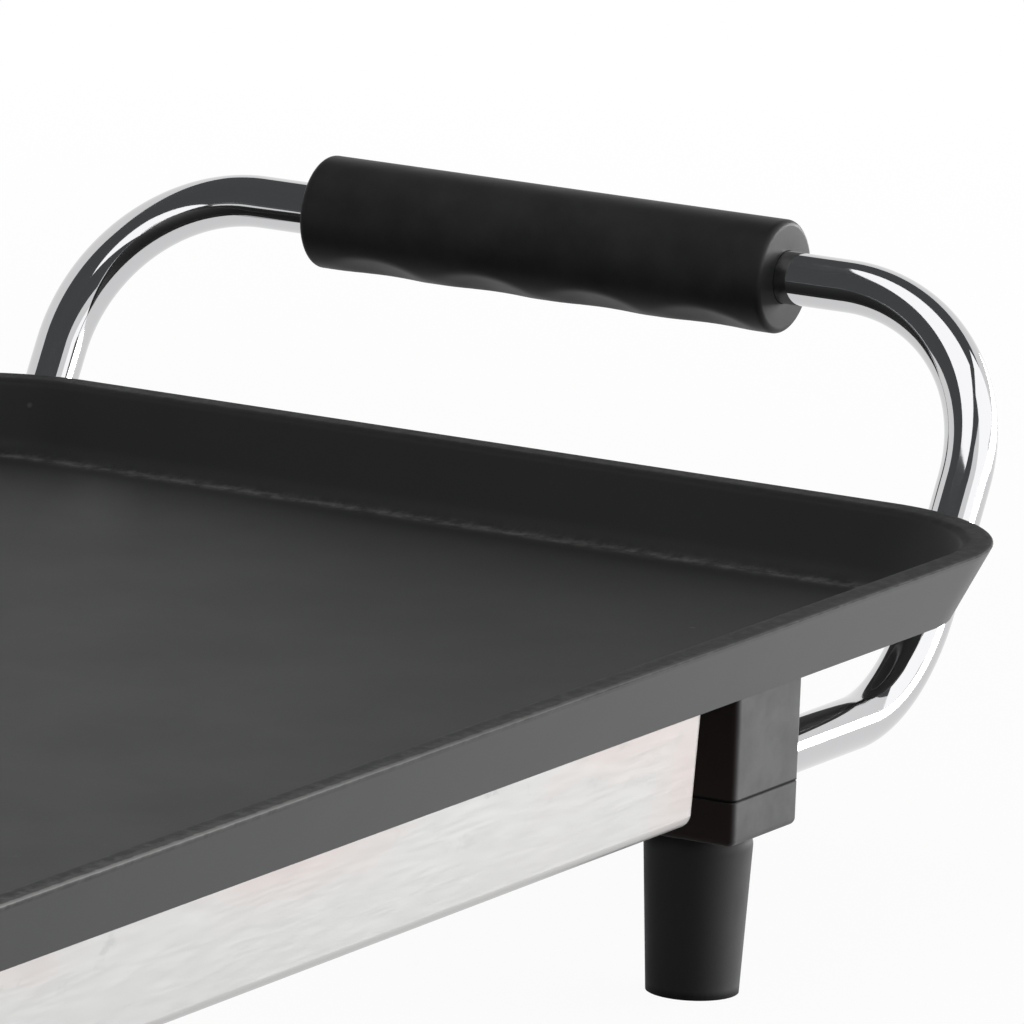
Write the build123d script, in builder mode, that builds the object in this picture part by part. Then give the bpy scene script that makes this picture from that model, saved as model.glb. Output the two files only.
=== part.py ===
from build123d import *
import os
from math import atan2, cos, degrees, radians, sin, tan

# Long electric table griddle with a plug-in temperature control, in millimetres.
# +X runs along the plate, +Z is up and the table top is Z = 0. The front long side faces -Y.

# Cast plate
PLATE_LENGTH = 912.0
PLATE_WIDTH = 243.0
RIM_HEIGHT = 73.5
RIM_CORNER = 34.0
RIM_LAND = 5.8
RIM_OUTER_EDGE = 0.4
RIM_INNER_EDGE = 2.5
BAND_HEIGHT = 14.5
BAND_FLARE = 7.4
DISH_DEPTH = 13.0
DISH_FILLET = 5.0
FLOOR_THICKNESS = 4.0
STEP_INSET = 15.0

# Fits: what is seated in one body, and what slides or turns against another
SEAT_GAP = 0.05
RUN_GAP = 0.4

# Legs
LEG_FROM_END = 92.3
LEG_FROM_SIDE = 23.6
LEG_WIDTH = 25.0
LEG_DEPTH = 27.0
LEG_EDGE = 1.5
LEG_SPLIT = 39.0
LEG_BASE = 30.5
LEG_BASE_EDGE = 1.4
LEG_LINE = 0.4
LIP_DEPTH = 4.4
FOOT_TOP_R = 10.1
FOOT_BOTTOM_R = 8.5
FOOT_EDGE = 3.0
LEG_BOSS_R = 4.5
LEG_BOSS_DROP = 8.0
LEG_SCREW_R = 2.0
LEG_SCREW_SEAT = 20.0
LEG_SCREW_HEAD_R = 3.9
LEG_SCREW_HEAD = 2.6
LEG_RECESS_R = 4.5

# End handles
TUBE_R = 5.0
TUBE_WALL = 1.0
TUBE_SEAT = 21.0
BEND_R = 34.3
HANDLE_CLEAR = 4.8
HANDLE_LEAN = 28.9
GRIP_HEIGHT = 107.8
GRIP_R = 10.85
GRIP_LENGTH = 99.8
GRIP_EDGE = 1.2
GROOVE_COUNT = 4
GROOVE_PITCH = 23.6
GROOVE_DEPTH = 1.1
GROOVE_R = 42.0

# Heat shield tray
TRAY_LENGTH = 682.0
TRAY_WIDTH = 221.0
TRAY_CORNER = 3.0
TRAY_BOTTOM = 36.4
TRAY_DRAFT = 3.0
TRAY_BEND = 2.4
SHEET = 0.8
TRAY_GAP = 0.5
TRAY_POST_R = 4.5
TRAY_SCREW_R = 2.0
TRAY_SCREW_HEAD_R = 3.8
TRAY_SCREW_HEAD = 2.2
TRAY_SCREW_BITE = 12.0
TRAY_POSTS = [(-300, -92), (300, -92), (-300, 92), (300, 92), (-110, 0), (110, 0)]

# Tubular heating element, pressed into a cast rail and held by straps
ELEMENT_R = 4.0
ELEMENT_Y = 58.0
ELEMENT_END_X = 322.0
ELEMENT_BEND = 40.0
ELEMENT_LEAD_BEND = 14.0
RAIL_WIDTH = 14.0
RAIL_DROP = 8.0
STRAP_X = [-255.0, -105.0, 105.0, 255.0]
STRAP_WIDTH = 11.0
STRAP_SHEET = 1.2
STRAP_REACH = 17.0
STRAP_SCREW_R = 1.5
STRAP_SCREW_HEAD_R = 2.9
STRAP_SCREW_HEAD = 2.0
STRAP_SCREW_BITE = 4.5
STRAP_SCREW_IN = 4.5
HEAD_ROUND = 0.45

# Inlet in the middle of the rear side
PIN_SPACING = 36.0
PIN_R = 2.5
PIN_LENGTH = 22.0
BEAD_R = 4.2
BEAD_LENGTH = 5.0
LEAD_END_Y = 92.0
SHROUD_BACK_Y = 94.0
SHROUD_MOUTH_Y = 117.0
SHROUD_HALF_X = 33.0
SHROUD_BOTTOM = 40.0
SHROUD_WALL = 1.5
EAR_LENGTH = 10.0
EAR_DEPTH = 14.0
EAR_FROM_BACK = 8.0
EAR_SCREW_R = 1.5
EAR_SCREW_HEAD_R = 2.8
EAR_SCREW_HEAD = 2.0
EAR_SCREW_BITE = 2.8
PROBE_R = 3.0
PROBE_TIP_EDGE = 1.8
PROBE_TIP_Y = 45.0
PROBE_TIP_GAP = 2.0
PROBE_BOSS_WIDTH = 14.0
PROBE_BOSS_Y = 40.0

# Plug-in temperature control
CONTROL_GAP = 2.5
CONTROL_WIDTH = 66.0
CONTROL_DEPTH = 74.0
CONTROL_CORNER = 11.0
CONTROL_BOTTOM = 31.0
CONTROL_SPLIT = 47.0
CONTROL_TOP = 63.0
CONTROL_WALL = 2.4
CONTROL_EDGE = 4.0
BLOCK_FRONT_Y = 98.5
BLOCK_INSIDE = 7.0
BLOCK_GAP = 0.8
BLOCK_EDGE = 1.0
SLEEVE_IN = 1.0
SLEEVE_TAIL = 4.0
SLEEVE_WALL = 1.1
SPRING_SHEET = 0.5
SPRING_IN = 3.0
SPRING_MARGIN = 2.0
SWITCH_SIZE = (28.0, 40.0, 16.0)
SWITCH_BOTTOM = 39.0
SWITCH_BUSH_R = 6.0
SWITCH_BUSH = 3.5
SWITCH_EDGE = 1.5
SWITCH_RIB = 3.0
SWITCH_RIB_SPACING = 28.0
SHAFT_R = 3.0
SHAFT_DEPTH = 6.0
DIAL_R = 23.0
DIAL_FLANGE = 3.2
DIAL_KNOB_R = 17.0
DIAL_HEIGHT = 13.5
DIAL_FLUTES = 12
DIAL_FLUTE_R = 2.4
DIAL_FLUTE_OUT = 1.0
DIAL_SKIRT = 1.5
DIAL_DRAFT = 1.4
DIAL_EDGE = 1.6
DIAL_CAP = 4.0
DIAL_FROM_MIDDLE = 3.0
POINTER_LENGTH = 5.2
POINTER_WIDTH = 1.8
POINTER_RISE = 0.6
LENS_R = 4.5
LENS_RISE = 1.6
LENS_FLANGE = 1.2
LENS_FROM_FRONT = 9.0
GLAND_R = 8.0
GLAND_BORE_R = 3.6
GLAND_OUT = 9.0
GLAND_COLLAR = 1.6
GLAND_EDGE = 1.5
SCREW_POST_R = 3.4
SCREW_POST_IN_X = 7.0
SCREW_POST_IN_Y = 17.0
CASE_SCREW_R = 1.4
CASE_SCREW_HEAD_R = 2.6
CASE_SCREW_HEAD = 1.8

# Worked out from the sizes above
FLARE_ANGLE = degrees(atan2(BAND_FLARE, BAND_HEIGHT))
BAND_BOTTOM = RIM_HEIGHT - BAND_HEIGHT
DISH_FLOOR = RIM_HEIGHT - DISH_DEPTH
UNDERSIDE = DISH_FLOOR - FLOOR_THICKNESS
ELEMENT_Z = UNDERSIDE - RAIL_DROP
TRAY_FLOOR = TRAY_BOTTOM + SHEET
LEG_X = PLATE_LENGTH / 2 - LEG_FROM_END
LEG_Y = PLATE_WIDTH / 2 - LEG_FROM_SIDE
HANDLE_SLOPE = tan(radians(HANDLE_LEAN))
HANDLE_RIM_X = PLATE_LENGTH / 2 + HANDLE_CLEAR
GRIP_X = HANDLE_RIM_X + (GRIP_HEIGHT - RIM_HEIGHT) * HANDLE_SLOPE
HANDLE_FOOT_X = HANDLE_RIM_X - (RIM_HEIGHT - LEG_SPLIT) * HANDLE_SLOPE
TUBE_END_X = LEG_X + LEG_WIDTH / 2 - TUBE_SEAT
CONTROL_FRONT_Y = PLATE_WIDTH / 2 + CONTROL_GAP
CONTROL_BACK_Y = CONTROL_FRONT_Y + CONTROL_DEPTH
CASE_MIDDLE_Y = (CONTROL_FRONT_Y + CONTROL_BACK_Y) / 2
DIAL_Y = CASE_MIDDLE_Y + DIAL_FROM_MIDDLE
# The plate's middle, so that the whole griddle is centred on the origin
PLATE_Y = -(CONTROL_BACK_Y + GLAND_OUT - PLATE_WIDTH / 2) / 2

ENDS = {"left": -1, "right": 1}
SIDES = {"front": -1, "rear": 1}
PINS = [(-PIN_SPACING / 2, LEAD_END_Y), (PIN_SPACING / 2, LEAD_END_Y)]
DOWN = (0, 0, -1)

os.makedirs("parts", exist_ok=True)


def place(x, y, z):
    """A point given from the plate's middle, in the part's own frame."""
    return (x, PLATE_Y + y, z)


def level(z, x=0.0, y=0.0):
    """Plan plane at height z, over a point given from the plate's middle."""
    return Plane(place(x, y, z))


def facing_rear(x, y, z):
    """Upright plane that looks along +Y, with its own x along -X and its own y along +Z."""
    return Plane(place(x, y, z), x_dir=(-1, 0, 0), z_dir=(0, 1, 0))


def save(part, name):
    """Label a finished piece and write it."""
    part.label = name
    export_step(part, f"parts/{name}.step")


# Route of the element: both leads come in from the inlet and the loop runs round the plate
with BuildLine(level(ELEMENT_Z)) as element_route:
    FilletPolyline(
        (-PIN_SPACING / 2, LEAD_END_Y),
        (-PIN_SPACING / 2, ELEMENT_Y),
        (-ELEMENT_END_X, ELEMENT_Y),
        (-ELEMENT_END_X, -ELEMENT_Y),
        (ELEMENT_END_X, -ELEMENT_Y),
        (ELEMENT_END_X, ELEMENT_Y),
        (PIN_SPACING / 2, ELEMENT_Y),
        (PIN_SPACING / 2, LEAD_END_Y),
        radius=[ELEMENT_LEAD_BEND] + [ELEMENT_BEND] * 4 + [ELEMENT_LEAD_BEND],
    )
element_path = element_route.wire()
lead_section = Plane(place(*PINS[0], ELEMENT_Z), x_dir=(1, 0, 0), z_dir=(0, -1, 0))

# Strap screws stand outside the loop, on pads of the rail
strap_spots = [(x, side, side * ELEMENT_Y) for x in STRAP_X for side in SIDES.values()]
strap_screws_at = [(x, y + side * (STRAP_REACH - STRAP_SCREW_IN)) for x, side, y in strap_spots]
legs_at = [(end * LEG_X, side * LEG_Y) for end in ENDS.values() for side in SIDES.values()]
ears_at = [(end * (SHROUD_HALF_X + EAR_LENGTH / 2), SHROUD_BACK_Y + EAR_FROM_BACK) for end in ENDS.values()]

# Cast plate: flared band and dish, floor, and the bosses and rail of its underside
with BuildPart() as griddle_plate:
    with BuildSketch(level(RIM_HEIGHT)):
        RectangleRounded(PLATE_LENGTH, PLATE_WIDTH, RIM_CORNER)
    extrude(amount=BAND_HEIGHT, dir=DOWN, taper=FLARE_ANGLE)
    with BuildSketch(level(BAND_BOTTOM)):
        RectangleRounded(PLATE_LENGTH - 2 * STEP_INSET, PLATE_WIDTH - 2 * STEP_INSET, RIM_CORNER - STEP_INSET)
    extrude(amount=BAND_BOTTOM - UNDERSIDE, dir=DOWN)
    with BuildSketch(level(RIM_HEIGHT)):
        RectangleRounded(PLATE_LENGTH - 2 * RIM_LAND, PLATE_WIDTH - 2 * RIM_LAND, RIM_CORNER - RIM_LAND)
    extrude(amount=DISH_DEPTH, dir=DOWN, taper=FLARE_ANGLE, mode=Mode.SUBTRACT)
    fillet(griddle_plate.edges().filter_by_position(Axis.Z, DISH_FLOOR, DISH_FLOOR), DISH_FILLET)
    rim_top = griddle_plate.faces().sort_by(Axis.Z)[-1]
    fillet(rim_top.outer_wire().edges(), RIM_OUTER_EDGE)
    rim_top = griddle_plate.faces().sort_by(Axis.Z)[-1]
    fillet(rim_top.inner_wires()[0].edges(), RIM_INNER_EDGE)
    # Rail that carries the element, with a pad beside it for each strap
    with BuildSketch(lead_section):
        with Locations((0, RAIL_DROP / 2)):
            Rectangle(RAIL_WIDTH, RAIL_DROP)
    sweep(path=element_path)
    with BuildSketch(level(UNDERSIDE)):
        for x, side, y in strap_spots:
            with Locations((x, y + side * STRAP_REACH / 2)):
                Rectangle(STRAP_WIDTH, STRAP_REACH)
    extrude(amount=RAIL_DROP, dir=DOWN)
    with BuildSketch(lead_section):
        Circle(ELEMENT_R + SEAT_GAP)
    sweep(path=element_path, mode=Mode.SUBTRACT)
    # Bosses under the legs, posts down to the tray, and the boss that takes the probe
    with BuildSketch(level(UNDERSIDE)):
        with Locations(*legs_at):
            Circle(LEG_BOSS_R)
    extrude(amount=LEG_BOSS_DROP, dir=DOWN)
    with BuildSketch(level(UNDERSIDE)):
        with Locations(*TRAY_POSTS):
            Circle(TRAY_POST_R)
    extrude(amount=UNDERSIDE - TRAY_FLOOR, dir=DOWN)
    with BuildSketch(level(UNDERSIDE)):
        with Locations((0, (PROBE_BOSS_Y + LEAD_END_Y) / 2)):
            Rectangle(PROBE_BOSS_WIDTH, LEAD_END_Y - PROBE_BOSS_Y)
    extrude(amount=RAIL_DROP + PROBE_BOSS_WIDTH / 2, dir=DOWN)
    # Screw holes and the probe's bore
    with BuildSketch(level(UNDERSIDE - LEG_BOSS_DROP)):
        with Locations(*legs_at):
            Circle(LEG_SCREW_R + SEAT_GAP)
    extrude(amount=LEG_BOSS_DROP + FLOOR_THICKNESS / 2, mode=Mode.SUBTRACT)
    with BuildSketch(level(TRAY_FLOOR)):
        with Locations(*TRAY_POSTS):
            Circle(TRAY_SCREW_R + SEAT_GAP)
    extrude(amount=TRAY_SCREW_BITE + SEAT_GAP, mode=Mode.SUBTRACT)
    with BuildSketch(level(ELEMENT_Z)):
        with Locations(*strap_screws_at):
            Circle(STRAP_SCREW_R + SEAT_GAP)
    extrude(amount=STRAP_SCREW_BITE + SEAT_GAP, mode=Mode.SUBTRACT)
    with BuildSketch(level(UNDERSIDE)):
        with Locations(*ears_at):
            Circle(EAR_SCREW_R + SEAT_GAP)
    extrude(amount=EAR_SCREW_BITE + SEAT_GAP, mode=Mode.SUBTRACT)
    with BuildSketch(facing_rear(0, PROBE_TIP_Y - PROBE_TIP_GAP, ELEMENT_Z)):
        Circle(PROBE_R + RUN_GAP)
    extrude(amount=LEAD_END_Y - PROBE_TIP_Y + PROBE_TIP_GAP, mode=Mode.SUBTRACT)
save(griddle_plate.part, "griddle_plate")

# Element, straps and strap screws
with BuildPart() as heating_element:
    with BuildSketch(lead_section):
        Circle(ELEMENT_R)
    sweep(path=element_path)
save(heating_element.part, "heating_element")

with BuildPart() as element_straps:
    for x, side, y in strap_spots:
        strap_edge = place(x - STRAP_WIDTH / 2, y, ELEMENT_Z)
        strap_section = Plane(strap_edge, x_dir=(0, side, 0), z_dir=(side, 0, 0))
        with BuildSketch(strap_section):
            Circle(ELEMENT_R + SEAT_GAP + STRAP_SHEET)
            with Locations((STRAP_REACH / 2, -STRAP_SHEET / 2)):
                Rectangle(STRAP_REACH, STRAP_SHEET)
            Circle(ELEMENT_R + SEAT_GAP, mode=Mode.SUBTRACT)
            with Locations((0, RAIL_WIDTH / 2)):
                Rectangle(4 * RAIL_WIDTH, RAIL_WIDTH, mode=Mode.SUBTRACT)
        extrude(amount=side * STRAP_WIDTH)
    with BuildSketch(level(ELEMENT_Z)):
        with Locations(*strap_screws_at):
            Circle(STRAP_SCREW_R + SEAT_GAP)
    extrude(amount=STRAP_SHEET, dir=DOWN, mode=Mode.SUBTRACT)
save(element_straps.part, "element_straps")


def screw_group(spots, seat, shank_r, bite, head_r, head):
    """Pan head screws driven upwards: heads hang below the seat height, shanks reach up by the bite."""
    with BuildPart() as screws:
        with BuildSketch(level(seat)):
            with Locations(*spots):
                Circle(head_r)
        extrude(amount=head, dir=DOWN)
        fillet(screws.edges().filter_by_position(Axis.Z, seat - head, seat - head), head * HEAD_ROUND)
        with BuildSketch(level(seat)):
            with Locations(*spots):
                Circle(shank_r)
        extrude(amount=bite)
    return screws.part


strap_seat = ELEMENT_Z - STRAP_SHEET
strap_bite = STRAP_SHEET + STRAP_SCREW_BITE
save(
    screw_group(strap_screws_at, strap_seat, STRAP_SCREW_R, strap_bite, STRAP_SCREW_HEAD_R, STRAP_SCREW_HEAD),
    "strap_screws",
)

# Heat shield tray: folded sheet pan with drawn-in walls, its ends cut back under the plate's floor
with BuildPart() as heat_shield_tray:
    with BuildSketch(level(BAND_BOTTOM)):
        RectangleRounded(TRAY_LENGTH, TRAY_WIDTH, TRAY_CORNER)
    extrude(amount=BAND_BOTTOM - TRAY_BOTTOM, dir=DOWN, taper=TRAY_DRAFT)
    fillet(heat_shield_tray.edges().filter_by_position(Axis.Z, TRAY_BOTTOM, TRAY_BOTTOM), TRAY_BEND)
    with BuildSketch(level(BAND_BOTTOM)):
        RectangleRounded(TRAY_LENGTH - 2 * SHEET, TRAY_WIDTH - 2 * SHEET, TRAY_CORNER - SHEET)
    extrude(amount=BAND_BOTTOM - TRAY_FLOOR, dir=DOWN, taper=TRAY_DRAFT, mode=Mode.SUBTRACT)
    fillet(heat_shield_tray.edges().filter_by_position(Axis.Z, TRAY_FLOOR, TRAY_FLOOR), TRAY_BEND - SHEET)
    with BuildSketch(level(UNDERSIDE)):
        Rectangle(TRAY_LENGTH, PLATE_WIDTH - 2 * (STEP_INSET - TRAY_GAP))
    extrude(amount=BAND_BOTTOM - UNDERSIDE, mode=Mode.SUBTRACT)
    with BuildSketch(level(SHROUD_BOTTOM - TRAY_GAP)):
        with Locations((0, TRAY_WIDTH / 2)):
            Rectangle(2 * (SHROUD_HALF_X + TRAY_GAP), 2 * TRAY_BEND + 2 * SHEET)
    extrude(amount=BAND_BOTTOM - SHROUD_BOTTOM + TRAY_GAP, mode=Mode.SUBTRACT)
    with BuildSketch(level(TRAY_BOTTOM)):
        with Locations(*TRAY_POSTS):
            Circle(TRAY_SCREW_R + SEAT_GAP)
    extrude(amount=2 * SHEET, mode=Mode.SUBTRACT)
save(heat_shield_tray.part, "heat_shield_tray")
save(
    screw_group(
        TRAY_POSTS, TRAY_BOTTOM, TRAY_SCREW_R, SHEET + TRAY_SCREW_BITE, TRAY_SCREW_HEAD_R, TRAY_SCREW_HEAD
    ),
    "tray_screws",
)

# Legs: an upper block against the plate and a foot below, which clamp the handle's tube between them
for end_name, end in ENDS.items():
    for side_name, side in SIDES.items():
        leg_x = end * LEG_X
        leg_y = side * LEG_Y
        tube_mouth = Plane(place(leg_x + end * LEG_WIDTH / 2, leg_y, LEG_SPLIT), z_dir=(-end, 0, 0))

        with BuildPart() as leg_block:
            with BuildSketch(level(LEG_SPLIT, leg_x, leg_y)):
                RectangleRounded(LEG_WIDTH, LEG_DEPTH, LEG_EDGE)
            extrude(amount=BAND_BOTTOM - LEG_SPLIT)
            # Only the outer lip reaches the band, the rest stops at the plate's floor
            with BuildSketch(level(UNDERSIDE, leg_x, leg_y - side * LIP_DEPTH)):
                Rectangle(LEG_WIDTH, LEG_DEPTH)
            extrude(amount=BAND_BOTTOM - UNDERSIDE, mode=Mode.SUBTRACT)
            with BuildSketch(level(UNDERSIDE, leg_x, leg_y)):
                Circle(LEG_BOSS_R + SEAT_GAP)
            extrude(amount=LEG_BOSS_DROP + SEAT_GAP, dir=DOWN, mode=Mode.SUBTRACT)
            with BuildSketch(level(LEG_SPLIT, leg_x, leg_y)):
                Circle(LEG_SCREW_R + SEAT_GAP)
            extrude(amount=UNDERSIDE - LEG_SPLIT, mode=Mode.SUBTRACT)
            with BuildSketch(tube_mouth):
                Circle(TUBE_R + SEAT_GAP)
            extrude(amount=TUBE_SEAT + SEAT_GAP, mode=Mode.SUBTRACT)
        save(leg_block.part, f"{side_name}_{end_name}_leg_block")

        with BuildPart() as leg_foot:
            with BuildSketch(level(LEG_BASE, leg_x, leg_y)):
                RectangleRounded(LEG_WIDTH, LEG_DEPTH, LEG_EDGE)
            extrude(amount=LEG_SPLIT - LEG_BASE)
            fillet(leg_foot.faces().sort_by(Axis.Z)[0].edges(), LEG_BASE_EDGE)
            chamfer(leg_foot.faces().sort_by(Axis.Z)[-1].edges(), LEG_LINE)
            foot_section = Plane(place(leg_x, leg_y, 0), x_dir=(1, 0, 0), z_dir=(0, -1, 0))
            with BuildSketch(foot_section) as foot_profile:
                with BuildLine():
                    Polyline((0, 0), (FOOT_BOTTOM_R, 0), (FOOT_TOP_R, LEG_BASE), (0, LEG_BASE), close=True)
                make_face()
                fillet(foot_profile.vertices().group_by(Axis.Z)[0].sort_by(Axis.X)[-1], FOOT_EDGE)
            revolve(axis=Axis(place(leg_x, leg_y, 0), (0, 0, 1)))
            with BuildSketch(level(0, leg_x, leg_y)):
                Circle(LEG_RECESS_R)
            extrude(amount=LEG_SCREW_SEAT, mode=Mode.SUBTRACT)
            with BuildSketch(level(0, leg_x, leg_y)):
                Circle(LEG_SCREW_R + SEAT_GAP)
            extrude(amount=LEG_SPLIT, mode=Mode.SUBTRACT)
            with BuildSketch(tube_mouth):
                Circle(TUBE_R + SEAT_GAP)
            extrude(amount=TUBE_SEAT + SEAT_GAP, mode=Mode.SUBTRACT)
        save(leg_foot.part, f"{side_name}_{end_name}_foot")

leg_bite = UNDERSIDE + FLOOR_THICKNESS / 2 - LEG_SCREW_SEAT - SEAT_GAP
save(
    screw_group(legs_at, LEG_SCREW_SEAT, LEG_SCREW_R, leg_bite, LEG_SCREW_HEAD_R, LEG_SCREW_HEAD),
    "leg_screws",
)

# Handles: one bent tube each, leaning out with the plate's wall, and a finger-grooved sleeve on it
for end_name, end in ENDS.items():
    with BuildLine() as tube_route:
        FilletPolyline(
            place(end * TUBE_END_X, -LEG_Y, LEG_SPLIT),
            place(end * HANDLE_FOOT_X, -LEG_Y, LEG_SPLIT),
            place(end * GRIP_X, -LEG_Y, GRIP_HEIGHT),
            place(end * GRIP_X, LEG_Y, GRIP_HEIGHT),
            place(end * HANDLE_FOOT_X, LEG_Y, LEG_SPLIT),
            place(end * TUBE_END_X, LEG_Y, LEG_SPLIT),
            radius=BEND_R,
        )
    tube_path = tube_route.wire()
    with BuildPart() as handle_tube:
        with BuildSketch(Plane(tube_path @ 0, z_dir=tube_path % 0)):
            Circle(TUBE_R)
            Circle(TUBE_R - TUBE_WALL, mode=Mode.SUBTRACT)
        sweep(path=tube_path)
        with BuildSketch(level(LEG_SPLIT - 2 * TUBE_R)):
            with Locations((end * LEG_X, -LEG_Y), (end * LEG_X, LEG_Y)):
                Circle(LEG_SCREW_R + SEAT_GAP)
        extrude(amount=4 * TUBE_R, mode=Mode.SUBTRACT)
    save(handle_tube.part, f"{end_name}_handle_tube")

    # The grooves face the plate, square to the handle's leaning plane
    lean = radians(HANDLE_LEAN) * end
    with BuildPart() as handle_grip:
        with BuildSketch(facing_rear(end * GRIP_X, -GRIP_LENGTH / 2, GRIP_HEIGHT)):
            Circle(GRIP_R)
        extrude(amount=GRIP_LENGTH)
        fillet(handle_grip.edges().filter_by(GeomType.CIRCLE), GRIP_EDGE)
        groove_drop = GRIP_R - GROOVE_DEPTH + GROOVE_R
        groove_plane = Plane(
            place(end * GRIP_X - sin(lean) * groove_drop, 0, GRIP_HEIGHT - cos(lean) * groove_drop),
            x_dir=(0, 1, 0),
            z_dir=(cos(lean), 0, -sin(lean)),
        )
        with BuildSketch(groove_plane):
            with GridLocations(GROOVE_PITCH, 1, GROOVE_COUNT, 1):
                Circle(GROOVE_R)
        extrude(amount=2 * GRIP_R, both=True, mode=Mode.SUBTRACT)
        with BuildSketch(facing_rear(end * GRIP_X, -GRIP_LENGTH / 2, GRIP_HEIGHT)):
            Circle(TUBE_R + SEAT_GAP)
        extrude(amount=GRIP_LENGTH, mode=Mode.SUBTRACT)
    save(handle_grip.part, f"{end_name}_handle_grip")

# Inlet: the element's pins in ceramic beads, inside a metal shroud screwed under the plate
with BuildPart() as terminal_pins:
    for pin_x, pin_y in PINS:
        with BuildSketch(facing_rear(pin_x, pin_y, ELEMENT_Z)):
            Circle(PIN_R)
        extrude(amount=PIN_LENGTH)
    fillet(terminal_pins.faces().group_by(Axis.Y)[-1].edges(), PIN_R / 2)
save(terminal_pins.part, "terminal_pins")

with BuildPart() as terminal_beads:
    for pin_x, pin_y in PINS:
        with BuildSketch(facing_rear(pin_x, pin_y, ELEMENT_Z)):
            Circle(BEAD_R)
            Circle(PIN_R + SEAT_GAP, mode=Mode.SUBTRACT)
        extrude(amount=BEAD_LENGTH)
save(terminal_beads.part, "terminal_beads")

shroud_height = UNDERSIDE - SHROUD_BOTTOM
with BuildPart() as inlet_shroud:
    with BuildSketch(facing_rear(0, SHROUD_BACK_Y, SHROUD_BOTTOM + shroud_height / 2)):
        RectangleRounded(2 * SHROUD_HALF_X, shroud_height, SHROUD_WALL)
    extrude(amount=SHROUD_MOUTH_Y - SHROUD_BACK_Y)
    with BuildSketch(facing_rear(0, SHROUD_BACK_Y + SHROUD_WALL, SHROUD_BOTTOM + shroud_height / 2)):
        Rectangle(2 * (SHROUD_HALF_X - SHROUD_WALL), shroud_height - 2 * SHROUD_WALL)
    extrude(amount=SHROUD_MOUTH_Y - SHROUD_BACK_Y, mode=Mode.SUBTRACT)
    with BuildSketch(level(UNDERSIDE)):
        with Locations(*ears_at):
            Rectangle(EAR_LENGTH + 2 * SHROUD_WALL, EAR_DEPTH)
    extrude(amount=SHROUD_WALL, dir=DOWN)
    with BuildSketch(level(UNDERSIDE)):
        with Locations(*ears_at):
            Circle(EAR_SCREW_R + SEAT_GAP)
    extrude(amount=SHROUD_WALL, dir=DOWN, mode=Mode.SUBTRACT)
    with BuildSketch(facing_rear(0, SHROUD_BACK_Y, ELEMENT_Z)):
        with GridLocations(PIN_SPACING, 1, 2, 1):
            Circle(BEAD_R + SEAT_GAP)
        Circle(PROBE_R + 2 * RUN_GAP)
    extrude(amount=SHROUD_WALL, mode=Mode.SUBTRACT)
save(inlet_shroud.part, "inlet_shroud")

ear_seat = UNDERSIDE - SHROUD_WALL
ear_bite = SHROUD_WALL + EAR_SCREW_BITE
save(
    screw_group(ears_at, ear_seat, EAR_SCREW_R, ear_bite, EAR_SCREW_HEAD_R, EAR_SCREW_HEAD),
    "inlet_screws",
)

# Temperature control: two case shells around the contact block, switch and gland
block_half_x = SHROUD_HALF_X - SHROUD_WALL - BLOCK_GAP
block_height = shroud_height - 2 * (SHROUD_WALL + BLOCK_GAP)
block_z = SHROUD_BOTTOM + shroud_height / 2
post_x = CONTROL_WIDTH / 2 - SCREW_POST_IN_X
post_y = CONTROL_DEPTH / 2 - SCREW_POST_IN_Y
case_posts_at = [
    (end * post_x, CASE_MIDDLE_Y + side * post_y) for end in ENDS.values() for side in SIDES.values()
]


def case_shell(outer_z, roof_sign):
    """Half of the control's case, open at the split, with its screw posts and the two side openings."""
    tall = abs(outer_z - CONTROL_SPLIT)
    away = (0, 0, roof_sign)
    with BuildPart() as shell:
        with BuildSketch(level(CONTROL_SPLIT, 0, CASE_MIDDLE_Y)):
            RectangleRounded(CONTROL_WIDTH, CONTROL_DEPTH, CONTROL_CORNER)
        extrude(amount=tall, dir=away)
        fillet(shell.edges().filter_by_position(Axis.Z, outer_z, outer_z), CONTROL_EDGE)
        with BuildSketch(level(CONTROL_SPLIT, 0, CASE_MIDDLE_Y)):
            RectangleRounded(CONTROL_WIDTH, CONTROL_DEPTH, CONTROL_CORNER)
            offset(amount=-CONTROL_WALL, mode=Mode.REPLACE)
        extrude(amount=tall - CONTROL_WALL, dir=away, mode=Mode.SUBTRACT)
        with BuildSketch(level(CONTROL_SPLIT, 0, 0)):
            with Locations(*case_posts_at):
                Circle(SCREW_POST_R)
        extrude(amount=tall - CONTROL_WALL, dir=away)
        with BuildSketch(facing_rear(0, CONTROL_FRONT_Y, block_z)):
            Rectangle(2 * (block_half_x + SEAT_GAP), block_height + 2 * SEAT_GAP)
        extrude(amount=CONTROL_WALL + BLOCK_INSIDE, mode=Mode.SUBTRACT)
        with BuildSketch(facing_rear(0, CONTROL_BACK_Y - CONTROL_WALL, CONTROL_SPLIT)):
            Circle(GLAND_R + SEAT_GAP)
        extrude(amount=CONTROL_WALL, mode=Mode.SUBTRACT)
    return shell


top_case = case_shell(CONTROL_TOP, 1)
with BuildPart() as control_top_shell:
    add(top_case.part)
    with BuildSketch(level(CONTROL_SPLIT)):
        with Locations(*case_posts_at):
            Circle(CASE_SCREW_R + SEAT_GAP)
    extrude(amount=CONTROL_TOP - CONTROL_SPLIT - CONTROL_WALL, mode=Mode.SUBTRACT)
    with BuildSketch(level(CONTROL_SPLIT)):
        with Locations((0, DIAL_Y)):
            Circle(SHAFT_R + RUN_GAP)
        with Locations((0, CONTROL_FRONT_Y + LENS_FROM_FRONT)):
            Circle(LENS_R + SEAT_GAP)
    extrude(amount=CONTROL_TOP - CONTROL_SPLIT, mode=Mode.SUBTRACT)
save(control_top_shell.part, "control_top_shell")

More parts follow.
